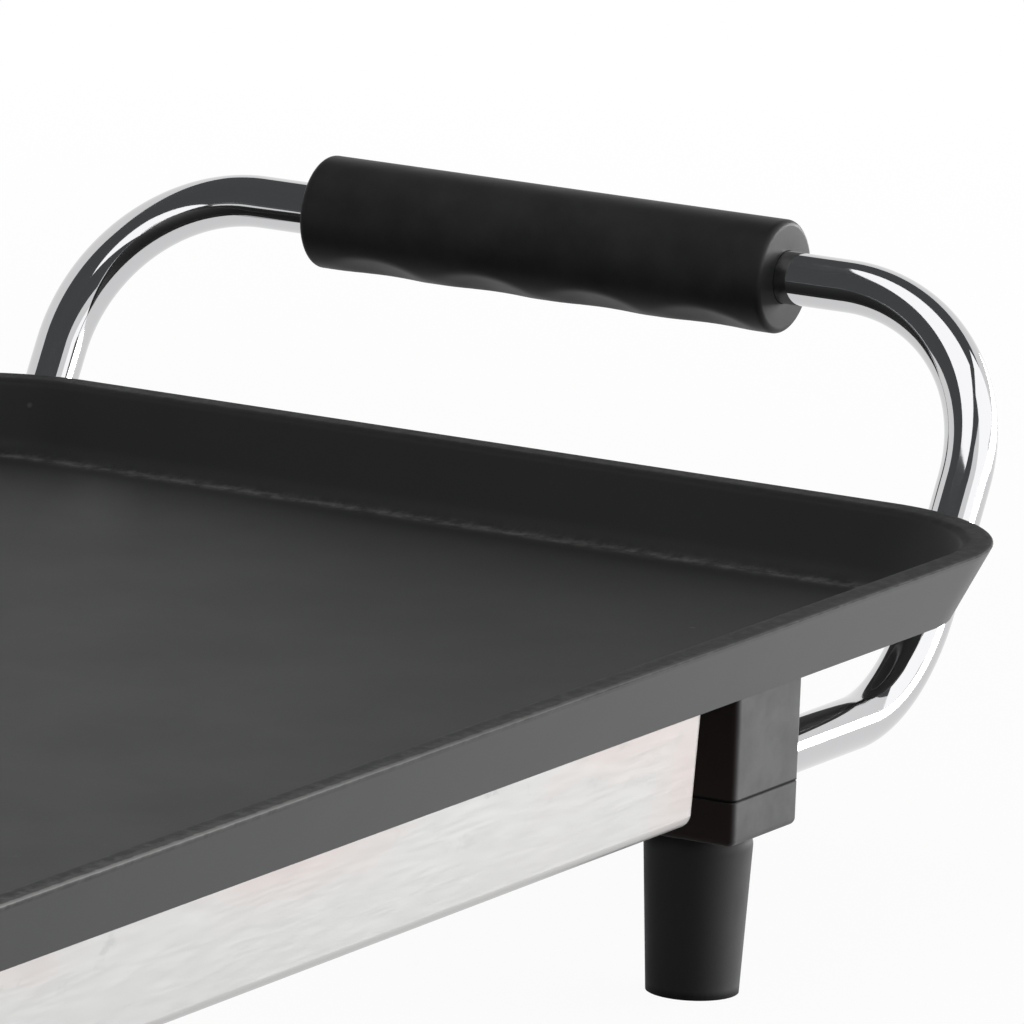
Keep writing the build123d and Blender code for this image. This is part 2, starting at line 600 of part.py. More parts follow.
bottom_case = case_shell(CONTROL_BOTTOM, -1)
floor_inside = CONTROL_BOTTOM + CONTROL_WALL
with BuildPart() as control_bottom_shell:
    add(bottom_case.part)
    # Two ribs carry the switch
    with BuildSketch(level(floor_inside)):
        with Locations((0, DIAL_Y)):
            with GridLocations(1, SWITCH_RIB_SPACING, 1, 2):
                Rectangle(SWITCH_SIZE[0], SWITCH_RIB)
    extrude(amount=SWITCH_BOTTOM - floor_inside)
    with BuildSketch(level(CONTROL_BOTTOM)):
        with Locations(*case_posts_at):
            Circle(CASE_SCREW_R + SEAT_GAP)
    extrude(amount=CONTROL_SPLIT - CONTROL_BOTTOM, mode=Mode.SUBTRACT)
    with BuildSketch(level(CONTROL_BOTTOM)):
        with Locations(*case_posts_at):
            Circle(CASE_SCREW_HEAD_R + SEAT_GAP)
    extrude(amount=CASE_SCREW_HEAD + CONTROL_WALL, mode=Mode.SUBTRACT)
save(control_bottom_shell.part, "control_bottom_shell")

case_seat = CONTROL_BOTTOM + CASE_SCREW_HEAD + CONTROL_WALL
case_bite = CONTROL_TOP - CONTROL_WALL - case_seat - SEAT_GAP
save(
    screw_group(case_posts_at, case_seat, CASE_SCREW_R, case_bite, CASE_SCREW_HEAD_R, CASE_SCREW_HEAD),
    "control_screws",
)

# Contact block with its sprung sleeves, earth springs and probe
block_back_y = CONTROL_FRONT_Y + CONTROL_WALL + BLOCK_INSIDE
sleeve_bore_r = PIN_R + RUN_GAP
sleeve_r = sleeve_bore_r + SLEEVE_WALL
switch_front_y = DIAL_Y - SWITCH_SIZE[1] / 2
with BuildPart() as contact_block:
    with BuildSketch(facing_rear(0, BLOCK_FRONT_Y, block_z)):
        RectangleRounded(2 * block_half_x, block_height, BLOCK_EDGE)
    extrude(amount=block_back_y - BLOCK_FRONT_Y)
    with BuildSketch(facing_rear(0, BLOCK_FRONT_Y, ELEMENT_Z)):
        with GridLocations(PIN_SPACING, 1, 2, 1):
            Circle(sleeve_r + SEAT_GAP)
        Circle(PROBE_R + SEAT_GAP)
    extrude(amount=block_back_y - BLOCK_FRONT_Y, mode=Mode.SUBTRACT)
save(contact_block.part, "contact_block")

with BuildPart() as contact_sleeves:
    with BuildSketch(facing_rear(0, BLOCK_FRONT_Y + SLEEVE_IN, ELEMENT_Z)):
        with GridLocations(PIN_SPACING, 1, 2, 1):
            Circle(sleeve_r)
            Circle(sleeve_bore_r, mode=Mode.SUBTRACT)
    extrude(amount=block_back_y + SLEEVE_TAIL - BLOCK_FRONT_Y - SLEEVE_IN)
save(contact_sleeves.part, "contact_sleeves")

with BuildPart() as earth_springs:
    for end in ENDS.values():
        spring_x = end * (block_half_x + SPRING_SHEET / 2)
        with BuildSketch(facing_rear(spring_x, BLOCK_FRONT_Y + SPRING_IN, block_z)):
            Rectangle(SPRING_SHEET, block_height - 2 * SPRING_MARGIN)
        extrude(amount=SHROUD_MOUTH_Y - SPRING_MARGIN - BLOCK_FRONT_Y - SPRING_IN)
save(earth_springs.part, "earth_springs")

with BuildPart() as temperature_probe:
    with BuildSketch(facing_rear(0, PROBE_TIP_Y, ELEMENT_Z)):
        Circle(PROBE_R)
    extrude(amount=switch_front_y - PROBE_TIP_Y)
    fillet(temperature_probe.edges().group_by(Axis.Y)[0], PROBE_TIP_EDGE)
save(temperature_probe.part, "temperature_probe")

# Thermostat switch, and the shaft and dial that set it
switch_top = SWITCH_BOTTOM + SWITCH_SIZE[2]
shaft_foot = switch_top + SWITCH_BUSH - SHAFT_DEPTH
dial_seat = CONTROL_TOP + RUN_GAP
with BuildPart() as thermostat_switch:
    with BuildSketch(level(SWITCH_BOTTOM, 0, DIAL_Y)):
        RectangleRounded(SWITCH_SIZE[0], SWITCH_SIZE[1], SWITCH_EDGE)
    extrude(amount=SWITCH_SIZE[2])
    with BuildSketch(level(switch_top, 0, DIAL_Y)):
        Circle(SWITCH_BUSH_R)
    extrude(amount=SWITCH_BUSH)
    with BuildSketch(level(shaft_foot - RUN_GAP, 0, DIAL_Y)):
        Circle(SHAFT_R + RUN_GAP)
    extrude(amount=SHAFT_DEPTH + RUN_GAP, mode=Mode.SUBTRACT)
save(thermostat_switch.part, "thermostat_switch")

shaft_top = dial_seat + DIAL_HEIGHT - DIAL_CAP
with BuildPart() as dial_shaft:
    with BuildSketch(level(shaft_foot, 0, DIAL_Y)):
        Circle(SHAFT_R)
    extrude(amount=shaft_top - shaft_foot)
save(dial_shaft.part, "dial_shaft")

with BuildPart() as temperature_dial:
    with BuildSketch(Plane(place(0, DIAL_Y, dial_seat), x_dir=(1, 0, 0), z_dir=(0, -1, 0))):
        with BuildLine():
            Polyline(
                (0, 0),
                (DIAL_R, 0),
                (DIAL_R, DIAL_FLANGE / 2),
                (DIAL_KNOB_R + DIAL_SKIRT, DIAL_FLANGE),
                (DIAL_KNOB_R, DIAL_FLANGE),
                (DIAL_KNOB_R - DIAL_DRAFT, DIAL_HEIGHT),
                (0, DIAL_HEIGHT),
                close=True,
            )
        make_face()
    revolve(axis=Axis(place(0, DIAL_Y, 0), (0, 0, 1)))
    dial_top = dial_seat + DIAL_HEIGHT
    fillet(temperature_dial.edges().filter_by_position(Axis.Z, dial_top, dial_top), DIAL_EDGE)
    with BuildSketch(level(dial_seat + DIAL_FLANGE, 0, DIAL_Y)):
        with PolarLocations(DIAL_KNOB_R + DIAL_FLUTE_OUT, DIAL_FLUTES):
            Circle(DIAL_FLUTE_R)
    extrude(amount=DIAL_HEIGHT, mode=Mode.SUBTRACT)
    # Pointer rib on the flange, towards the plate
    with BuildSketch(level(dial_seat + DIAL_FLANGE / 2, 0, DIAL_Y)):
        with Locations((0, -(DIAL_R + DIAL_KNOB_R) / 2)):
            SlotOverall(POINTER_LENGTH, POINTER_WIDTH, rotation=90)
    extrude(amount=DIAL_FLANGE / 2 + POINTER_RISE)
    with BuildSketch(level(dial_seat, 0, DIAL_Y)):
        Circle(SHAFT_R + SEAT_GAP)
    extrude(amount=DIAL_HEIGHT - DIAL_CAP + SEAT_GAP, mode=Mode.SUBTRACT)
save(temperature_dial.part, "temperature_dial")

# Pilot lens, pushed up through the roof, and the bare cord gland
with BuildPart() as pilot_lens:
    with BuildSketch(level(CONTROL_TOP - CONTROL_WALL, 0, CONTROL_FRONT_Y + LENS_FROM_FRONT)):
        Circle(LENS_R + LENS_FLANGE)
    extrude(amount=LENS_FLANGE, dir=DOWN)
    with BuildSketch(level(CONTROL_TOP - CONTROL_WALL, 0, CONTROL_FRONT_Y + LENS_FROM_FRONT)):
        Circle(LENS_R)
    extrude(amount=CONTROL_WALL + LENS_RISE)
    fillet(pilot_lens.faces().sort_by(Axis.Z)[-1].edges(), LENS_RISE - SEAT_GAP)
save(pilot_lens.part, "pilot_lens")

with BuildPart() as cord_gland:
    with BuildSketch(facing_rear(0, CONTROL_BACK_Y - CONTROL_WALL, CONTROL_SPLIT)):
        Circle(GLAND_R)
    extrude(amount=CONTROL_WALL + GLAND_OUT)
    fillet(cord_gland.edges().group_by(Axis.Y)[-1], GLAND_EDGE)
    with BuildSketch(facing_rear(0, CONTROL_BACK_Y - 2 * CONTROL_WALL, CONTROL_SPLIT)):
        Circle(GLAND_R + GLAND_COLLAR)
    extrude(amount=CONTROL_WALL)
    with BuildSketch(facing_rear(0, CONTROL_BACK_Y - 2 * CONTROL_WALL, CONTROL_SPLIT)):
        Circle(GLAND_BORE_R)
    extrude(amount=2 * CONTROL_WALL + GLAND_OUT, mode=Mode.SUBTRACT)
save(cord_gland.part, "cord_gland")
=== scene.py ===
"""Looks of a long electric table griddle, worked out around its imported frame. All sizes are in metres."""

from math import atan2, cos, pi, radians, sin, tan

import bpy
import numpy as np
from bpy.props import FloatProperty, FloatVectorProperty, IntProperty, PointerProperty
from mathutils import Matrix, Vector


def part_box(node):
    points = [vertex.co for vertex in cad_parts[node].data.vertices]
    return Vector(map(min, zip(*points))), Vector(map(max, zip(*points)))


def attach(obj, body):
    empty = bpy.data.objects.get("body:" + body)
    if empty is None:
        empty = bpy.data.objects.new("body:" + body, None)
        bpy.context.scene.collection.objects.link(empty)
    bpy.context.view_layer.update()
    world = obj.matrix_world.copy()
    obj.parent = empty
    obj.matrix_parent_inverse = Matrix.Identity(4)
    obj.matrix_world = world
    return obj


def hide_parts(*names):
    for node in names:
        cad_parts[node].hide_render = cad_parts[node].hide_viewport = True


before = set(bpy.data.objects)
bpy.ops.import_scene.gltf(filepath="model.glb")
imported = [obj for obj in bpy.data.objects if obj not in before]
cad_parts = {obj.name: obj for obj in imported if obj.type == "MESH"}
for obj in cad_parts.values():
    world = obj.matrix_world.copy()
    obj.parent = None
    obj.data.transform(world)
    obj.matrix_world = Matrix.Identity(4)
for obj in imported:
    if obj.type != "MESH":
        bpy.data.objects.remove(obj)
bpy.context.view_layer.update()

bl_info = {
    "name": "Electric griddle",
    "version": (1, 0, 0),
    "blender": (4, 5, 0),
    "location": "3D View > Sidebar > Griddle",
    "description": "Builds the visible surfaces, finishes and studio of an electric griddle",
    "category": "Add Mesh",
}

MM = 0.001
ENDS = {"left": -1, "right": 1}
SIDES = ("front", "rear")

# Places that the frame gives
PLATE_LOW, PLATE_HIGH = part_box("griddle_plate")
TUBE_LOW, TUBE_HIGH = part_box("right_handle_tube")
GRIP_LOW, GRIP_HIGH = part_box("right_handle_grip")
DIAL_LOW, DIAL_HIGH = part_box("temperature_dial")
CASE_LOW, CASE_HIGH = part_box("control_top_shell")
PLATE_MIDDLE = (PLATE_LOW + PLATE_HIGH) / 2
DIAL_MIDDLE = (DIAL_LOW + DIAL_HIGH) / 2
LEG_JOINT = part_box("front_right_leg_block")[0].z

# Heights within a node: the top of the round foot, and the pointer's top above the dial's lower face
FOOT_LINE = 30.3 * MM
POINTER_TOP = 3.8 * MM

# Colours of a joint line and of the painted shade on the leg blocks' inner faces, and what a heat tint makes
# of bright sheet
SEAM = (0.01, 0.01, 0.01)
INNER_SHADE = (0.034, 0.027, 0.025)
HEAT_TINT = (1.02, 0.93, 0.91)


def length(label, words, millimetres):
    """A length property, given in millimetres and kept in metres."""
    return FloatProperty(name=label, description=words, default=millimetres * MM, unit="LENGTH", precision=5)


def rotation(label, words, degrees):
    """An angle property, given in degrees and kept in radians."""
    value = radians(degrees)
    return FloatProperty(name=label, description=words, default=value, unit="ROTATION", precision=5)


def colour(label, words, value):
    """A colour property."""
    return FloatVectorProperty(
        name=label, description=words, default=value, subtype="COLOR", size=3, min=0.0, max=1.0
    )


class PlateSettings(bpy.types.PropertyGroup):
    """Sizes and coating of the cast plate."""

    corner: length("Rim corner", "Radius of the rim's corners in plan", 34.0)
    land: length("Rim land", "Width of the flat top of the rim", 5.8)
    band: length("Band height", "Height of the flared outer band", 14.5)
    flare: length("Band flare", "How far the band draws in from rim to lower edge", 7.4)
    depth: length("Dish depth", "Depth of the dish under the rim", 13.0)
    fillet: length("Dish fillet", "Radius where the wall meets the floor", 5.0)
    floor: length("Floor thickness", "Thickness of the dish's floor", 4.0)
    step: length("Step inset", "How far the underside stands in from the rim", 15.0)
    coat: colour("Coating", "Colour of the non-stick coating in the dish", (0.026, 0.026, 0.0265))
    # The band's colour holds painted light: the coating made lighter for the light the band catches from the
    # floor and front
    spray: colour("Band coating", "Colour of the thinner coating on the outer band", (0.091, 0.091, 0.092))
    # The worn colour also paints highlights on the rim's edge and land and at the foot of the wall
    bare: colour("Worn coating", "Colour along edges that catch cloths and spatulas", (0.25, 0.25, 0.245))


class HandleSettings(bpy.types.PropertyGroup):
    """Sizes and finishes of the end handles."""

    tube: length("Tube radius", "Radius of the bent tube", 5.0)
    bend: length("Bend radius", "Radius of the tube's bends on its middle line", 34.3)
    lean: rotation("Lean", "How far the handle leans out", 28.9)
    edge: length("Grip edge", "Rounding of the grip's ends", 1.2)
    pitch: length("Groove pitch", "Distance from one finger groove to the next", 23.6)
    groove: length("Groove depth", "Depth of a finger groove", 1.1)
    sweep: length("Groove radius", "Radius of a finger groove along the grip", 42.0)
    grooves: IntProperty(name="Grooves", description="Number of finger grooves", default=4, min=1)
    chrome: colour("Chrome", "Reflected colour of the plated tube", (0.58, 0.58, 0.59))
    grip: colour("Grip", "Colour of the moulded grip", (0.038, 0.038, 0.038))


class FinishSettings(bpy.types.PropertyGroup):
    """Colours of the other finishes."""

    leg: colour("Leg blocks", "Colour of the moulded leg blocks", (0.128, 0.128, 0.129))
    foot: colour("Feet", "Colour of the round feet", (0.085, 0.085, 0.086))
    sheet: colour("Sheet", "Colour of the heat shield's sheet", (0.455, 0.455, 0.45))
    zinc: colour("Screws", "Colour of the zinc plated screws", (0.60, 0.60, 0.57))
    case: colour("Control case", "Colour of the moulded control", (0.034, 0.034, 0.035))
    marks: colour("Marks", "Colour of the printed dial marks", (0.78, 0.78, 0.76))
    amber: colour("Pilot lens", "Colour of the pilot lens", (0.80, 0.17, 0.03))


class StageSettings(bpy.types.PropertyGroup):
    """Where the camera stands and how it looks."""

    heading: rotation("Heading", "Turn of the view from +Y towards +X", 61.308)
    dip: rotation("Dip", "How far the view looks down", 11.943)
    roll: rotation("Roll", "Turn of the camera about its own view", -2.318)
    lens: FloatProperty(
        name="Lens", description="Focal length in millimetres on a 36 mm frame", default=489.45, unit="CAMERA"
    )
    station: FloatVectorProperty(
        name="Station",
        description="Where the camera stands",
        default=(-1.80076, -1.28419, 0.60467),
        unit="LENGTH",
    )


def mesh_piece(name, points, faces, finish, angle=35.0):
    """A smooth-shaded object from points and faces, turned so that its enclosed volume is positive.

    The volume is the sum of a . (b x c) / 6 over the faces' triangles.
    """
    points = np.asarray(points, float).reshape(-1, 3)
    groups = [np.asarray(group) for group in faces]
    volume = 0.0
    for group in groups:
        for k in range(1, group.shape[1] - 1):
            a, b, c = points[group[:, 0]], points[group[:, k]], points[group[:, k + 1]]
            volume += np.einsum("ij,ij->", a, np.cross(b, c))
    if volume < 0:
        groups = [group[:, ::-1] for group in groups]
    mesh = bpy.data.meshes.new(name)
    mesh.from_pydata(points.tolist(), [], [face for group in groups for face in group.tolist()])
    mesh.shade_smooth()
    mesh.set_sharp_from_angle(angle=radians(angle))
    mesh.materials.append(finish.material)
    piece = bpy.data.objects.new(name, mesh)
    bpy.context.scene.collection.objects.link(piece)
    return piece


def grid_faces(rows, columns, wrap_rows=False, first=0):
    """Quads over a grid whose columns close on themselves. The rows close too, or end in flat caps."""
    row_count = rows if wrap_rows else rows - 1
    row, column = np.meshgrid(np.arange(row_count), np.arange(columns), indexing="ij")
    here, ahead = row * columns, (row + 1) % rows * columns
    beside = (column + 1) % columns
    quads = np.stack([here + column, here + beside, ahead + beside, ahead + column], -1)
    groups = [quads.reshape(-1, 4) + first]
    if not wrap_rows:
        ring = np.arange(columns)
        groups.append(ring[None, ::-1] + first)
        groups.append(ring[None] + (rows - 1) * columns + first)
    return groups


def unit(vectors):
    """Vectors scaled to length one."""
    return vectors / np.linalg.norm(vectors, axis=-1, keepdims=True)


def rounded_line(points, radii, steps):
    """A polyline whose inner corners are arcs.

    An arc of radius r starts r / tan(half the corner's angle) from the corner, and its centre lies on the
    corner's bisector, r / sin(half the angle) away.
    """
    points = np.asarray(points, float)
    line = [points[:1]]
    share = np.linspace(0, 1, steps + 1)[:, None]
    for before, corner, after, radius in zip(points, points[1:], points[2:], radii):
        back, on = unit(before - corner), unit(after - corner)
        half = np.arccos(np.clip(back @ on, -1, 1)) / 2
        centre = corner + unit(back + on) * radius / sin(half)
        start = corner + back * radius / tan(half) - centre
        end = corner + on * radius / tan(half) - centre
        turn = pi - 2 * half
        line.append(centre + (np.sin((1 - share) * turn) * start + np.sin(share * turn) * end) / sin(turn))
    line.append(points[-1:])
    return np.vstack(line)


def divided(line, step):
    """A polyline with every run cut into equal pieces no longer than a step."""
    parts = [line[:1]]
    for start, end in zip(line, line[1:]):
        count = max(1, int(np.ceil(np.linalg.norm(end - start) / step)))
        parts.append(start + (end - start) * np.linspace(0, 1, count + 1)[1:, None])
    return np.vstack(parts)


def ring_pattern(corner_steps, long_steps, wide_steps):
    """Samples round a rounded rectangle: signs of the corner's centre, then the direction out from it."""
    signs = np.array([(1, 1), (-1, 1), (-1, -1), (1, -1)], float)
    parts = []
    for k in range(4):
        turn = k * pi / 2 + np.linspace(0, pi / 2, corner_steps + 1)
        arc = np.column_stack([np.tile(signs[k], (len(turn), 1)), np.cos(turn), np.sin(turn)])
        steps = (long_steps, wide_steps)[k % 2]
        share = np.linspace(0, 1, steps + 1)[1:-1, None]
        run = signs[k] + share * (signs[(k + 1) % 4] - signs[k])
        parts += [arc, np.column_stack([run, np.tile(arc[-1, 2:], (steps - 1, 1))])]
    return np.vstack(parts)


def ring_stack(profile, half_x, half_y, corner, pattern, middle):
    """A profile of (inset, height) carried round a rounded rectangle.

    At inset d the rectangle has half sizes less d and corner radius less d, down to a least radius.
    """
    inset, height = profile.T
    least = 0.3 * MM
    radius = np.maximum(corner - inset, least)
    x = middle[0] + np.outer(half_x - inset - radius, pattern[:, 0]) + np.outer(radius, pattern[:, 2])
    y = middle[1] + np.outer(half_y - inset - radius, pattern[:, 1]) + np.outer(radius, pattern[:, 3])
    z = np.repeat(height[:, None], len(pattern), axis=1)
    return np.stack([x, y, z], -1)


def tube_grid(path, radius, reference, sides):
    """A circle carried along a path: path + radius (u cos a + w sin a).

    u is the reference direction made square to the path's tangent t, and w is t x u.
    """
    step = unit(np.diff(path, axis=0))
    tangent = unit(np.vstack([step[:1], step[:-1] + step[1:], step[-1:]]))
    u = unit(reference - (tangent @ reference)[:, None] * tangent)
    w = np.cross(tangent, u)
    angle = np.linspace(0, 2 * pi, sides, endpoint=False)
    return path[:, None] + radius * (
        u[:, None] * np.cos(angle)[None, :, None] + w[:, None] * np.sin(angle)[None, :, None]
    )


def add_node(tree, kind, inputs=None, **settings):
    """One shader node: settings are its properties, inputs its sockets as values or as sockets to link."""
    node = tree.nodes.new(kind)
    for key, value in settings.items():
        setattr(node, key, value)
    for key, value in (inputs or {}).items():
        if isinstance(value, bpy.types.NodeSocket):
            tree.links.new(value, node.inputs[key])
        else:
            node.inputs[key].default_value = value
    return node


def map_range(tree, value, low, high, to=(0.0, 1.0)):
    """A value mapped from one range to another, held at the ends."""
    inputs = {"Value": value, "From Min": low, "From Max": high, "To Min": to[0], "To Max": to[1]}
    return add_node(tree, "ShaderNodeMapRange", inputs).outputs["Result"]


def shade(base, factor):
    """A colour made lighter or darker."""
    return tuple(min(1.0, channel * factor) for channel in base)


class Finish:
    """A material in the making: its nodes, its shader and the object coordinates that its patterns read."""

    def __init__(self, name):
        self.material = bpy.data.materials.new(name)
        self.material.use_nodes = True
        self.tree = self.material.node_tree
        self.shader = self.tree.nodes["Principled BSDF"]
        self.place = self.add("ShaderNodeTexCoord").outputs["Object"]

    def add(self, kind, inputs=None, **settings):
        """A node of this material."""
        return add_node(self.tree, kind, inputs, **settings)

    def give(self, socket, value):
        """Set one of the shader's sockets, or link a pattern to it."""
        target = self.shader.inputs[socket]
        if isinstance(value, bpy.types.NodeSocket):
            self.tree.links.new(value, target)
        else:
            target.default_value = value

    def painted(self):
        """The pattern that is linked to the shader's colour so far."""
        return self.shader.inputs["Base Color"].links[0].from_socket

    def axes(self, vector=None):
        """X, Y and Z of a vector, or of the object coordinates."""
        source = self.place if vector is None else vector
        return self.add("ShaderNodeSeparateXYZ", {"Vector": source}).outputs

    def drawn(self, share):
        """Object coordinates whose patterns are drawn out along the plate."""
        return self.add("ShaderNodeMapping", {"Vector": self.place, "Scale": (share, 1, 1)}).outputs["Vector"]

    def noise(self, scale, detail=3.0, rough=0.55, place=None):
        """Noise with a given number of features per metre."""
        source = self.place if place is None else place
        inputs = {"Vector": source, "Scale": scale, "Detail": detail, "Roughness": rough}
        return self.add("ShaderNodeTexNoise", inputs).outputs["Fac"]

    def spread(self, value, low, high, to=(0.0, 1.0)):
        """A value mapped from one range to another, held at the ends."""
        return map_range(self.tree, value, low, high, to)

    def math(self, operation, first, second=0.0):
        """Two values taken together by a Math node."""
        return self.add("ShaderNodeMath", {0: first, 1: second}, operation=operation).outputs["Value"]

    def times(self, first, second):
        """Product of two values."""
        return self.math("MULTIPLY", first, second)

    def plus(self, first, second):
        """Sum of two values."""
        return self.math("ADD", first, second)

    def apart(self, value, middle=0.0):
        """Distance of a value from a middle."""
        return self.math("ABSOLUTE", self.math("SUBTRACT", value, middle))

    def tint(self, share, first, second):
        """A colour mixed between two by a share."""
        node = self.add("ShaderNodeMix", {"Factor": share}, data_type="RGBA")
        for socket, value in (("A", first), ("B", second)):
            target = next(s for s in node.inputs if s.name == socket and s.type == "RGBA")
            if isinstance(value, bpy.types.NodeSocket):
                self.tree.links.new(value, target)
            else:
                target.default_value = (*value, 1.0)
        return next(s for s in node.outputs if s.type == "RGBA")

    def bump(self, height, strength, depth):
        """Relief from a pattern, a given depth from low to high."""
        inputs = {"Strength": strength, "Distance": depth, "Height": height}
        self.give("Normal", self.add("ShaderNodeBump", inputs).outputs["Normal"])


def grained_finish(name, base, rough, metallic=0.0, grain=1500.0, depth=0.02, contrast=0.12, gloss=0.5):
    """Moulded, rolled or plated surface: fine grain in the bump, soft blotches in colour and gloss.

    The grain is in features per metre and its depth in millimetres.
    """
    finish = Finish(name)
    grains_per_blotch = 18
    blotch = finish.noise(grain / grains_per_blotch)
    patch = finish.spread(blotch, 0.35, 0.65)
    finish.give("Base Color", finish.tint(patch, shade(base, 1 - contrast), shade(base, 1 + contrast)))
    finish.give("Metallic", metallic)
    finish.give("Specular IOR Level", gloss)
    finish.give("Roughness", finish.spread(blotch, 0.3, 0.7, to=(rough * 0.9, rough * 1.1)))
    finish.bump(finish.noise(grain), strength=0.5, depth=depth * MM)
    return finish


def seamed(finish, joint):
    """A finish with a dark line drawn at the height where two mouldings meet."""
    core, fade = 0.15 * MM, 0.4 * MM
    line = finish.spread(finish.apart(finish.axes()["Z"], joint), core, fade, to=(1.0, 0.0))
    finish.give("Base Color", finish.tint(line, finish.painted(), SEAM))
    return finish


def leg_finish(name, block, cone):
    """Grained plastic: a round foot, darker towards the bottom and with painted shade on its inner side,
    under a block whose inner faces carry a brownish painted shade.

    A face is an inner one where its normal's x points against its place's x.
    """
    finish = grained_finish(name, block, 0.52, grain=2600.0, gloss=0.03)
    along, _, height = finish.axes()
    normal = finish.add("ShaderNodeNewGeometry").outputs["Normal"]
    facing = finish.axes(normal)["X"]
    inward = finish.spread(finish.times(along, facing), -0.3, -0.1, to=(1.0, 0.0))
    blur, bottom_low, bottom_high = 0.2 * MM, 0.5 * MM, 1.6 * MM
    over = finish.spread(height, FOOT_LINE - blur, FOOT_LINE + blur)
    # The foot is darker towards the bottom
    bottom_band = finish.spread(height, bottom_low, bottom_high, to=(1.0, 0.0))
    blotch = finish.spread(finish.noise(140.0), 0.3, 0.7)
    worn = finish.tint(blotch, shade(cone, 0.92), shade(cone, 1.08))
    # Painted shade: the foot's inner side is darker
    shaded = finish.tint(inward, worn, shade(cone, 0.62))
    darker_below = finish.tint(bottom_band, shaded, shade(cone, 0.3))
    # Painted shade: the block's inner faces, towards the tray, are darkened to a brownish black
    painted_inner_shade = finish.tint(inward, finish.painted(), INNER_SHADE)
    finish.give("Base Color", finish.tint(over, darker_below, painted_inner_shade))
    return seamed(finish, LEG_JOINT)


def coated_finish(settings):
    """Sprayed non-stick coating: faint orange peel, cloudy sheen, a few specks, worn edges and painted light.

    The rim's edge and land are worn and carry a painted highlight where the edge map plus ragged noise passes
    a limit, more so near the middle of the plate's length. The foot of the wall carries a painted highlight
    in patches.
    The dish is painted lighter towards the middle as a painted sheen, and the band is painted lighter for the
    light that it catches.
    """
    finish = Finish("nonstick_coating")
    edge, land, ridge, outside = (
        finish.add("ShaderNodeAttribute", attribute_name=name).outputs["Fac"]
        for name in ("edge", "land", "ridge", "outside")
    )
    cloud = finish.noise(38.0, detail=5.0)
    ragged = finish.noise(420.0, detail=5.0, rough=0.65)
    from_middle = finish.apart(finish.axes()["X"])
    near_middle = finish.spread(from_middle, 80 * MM, 330 * MM, to=(1.0, 0.05))
    middle = finish.spread(from_middle, 100 * MM, 380 * MM, to=(1.0, 0.0))

    # Shares of worn coating and painted highlight: specks, a painted highlight at the wall's foot, and a
    # ragged strip along the rim and a bright line on its edge, both worn and painted highlight
    cells = finish.add("ShaderNodeTexVoronoi", {"Vector": finish.place, "Scale": 34.0})
    specks = finish.spread(cells.outputs["Distance"], 0.012, 0.026, to=(0.42, 0.0))
    # Painted highlight along the foot of the wall, broken into patches
    ridge_highlight = finish.times(ridge, finish.spread(ragged, 0.40, 0.62, to=(0.12, 1.0)))
    # A ragged strip on the rim's land and a line on its edge: worn coating with a painted highlight
    ragged_rim = finish.spread(finish.plus(edge, ragged), 0.62, 0.98, to=(0.0, 0.62))
    fine = finish.plus(edge, finish.spread(ragged, 0.3, 0.7, to=(-0.06, 0.06)))
    strip = finish.times(ragged_rim, near_middle)
    line = finish.times(finish.spread(fine, 0.72, 0.86), near_middle)

    # Colours, from the coating up to the worn coating and painted highlights on it
    # Painted sheen: the dish is lighter towards the middle of the plate and darker towards its ends
    painted_sheen_dish = finish.tint(middle, settings.coat, shade(settings.coat, 1.6))
    clouded = finish.spread(cloud, 0.35, 0.65, to=(0.0, 0.12))
    dish = finish.tint(clouded, painted_sheen_dish, shade(settings.coat, 0.5))
    # Painted light: the band is lighter than the dish, and lighter still towards the middle of the plate
    band = finish.tint(middle, shade(settings.spray, 1.1), shade(settings.spray, 0.76))
    surface = finish.tint(outside, dish, band)
    for wear_and_light, brightness in ((specks, 0.6), (ridge_highlight, 0.6), (strip, 0.5), (line, 1.2)):
        surface = finish.tint(wear_and_light, surface, shade(settings.bare, brightness))
    finish.give("Base Color", surface)

    matt = finish.times(land, finish.spread(ragged, 0.35, 0.65, to=(0.32, 0.12)))
    finish.give("Roughness", finish.plus(finish.spread(cloud, 0.3, 0.7, to=(0.545, 0.58)), matt))
    finish.give("Specular IOR Level", 0.165)
    finish.bump(finish.noise(1400.0, detail=2.0), strength=0.2, depth=0.012 * MM)
    return finish


def chrome_finish(settings):
    """Polished plating with faint smears that soften the gloss."""
    finish = Finish("polished_chrome")
    smear = finish.noise(55.0, detail=4.0)
    finish.give("Base Color", (*settings.chrome, 1.0))
    finish.give("Metallic", 1.0)
    finish.give("Roughness", finish.spread(smear, 0.35, 0.75, to=(0.03, 0.09)))
    finish.bump(finish.noise(160.0, detail=2.0), strength=0.05, depth=0.05 * MM)
    return finish


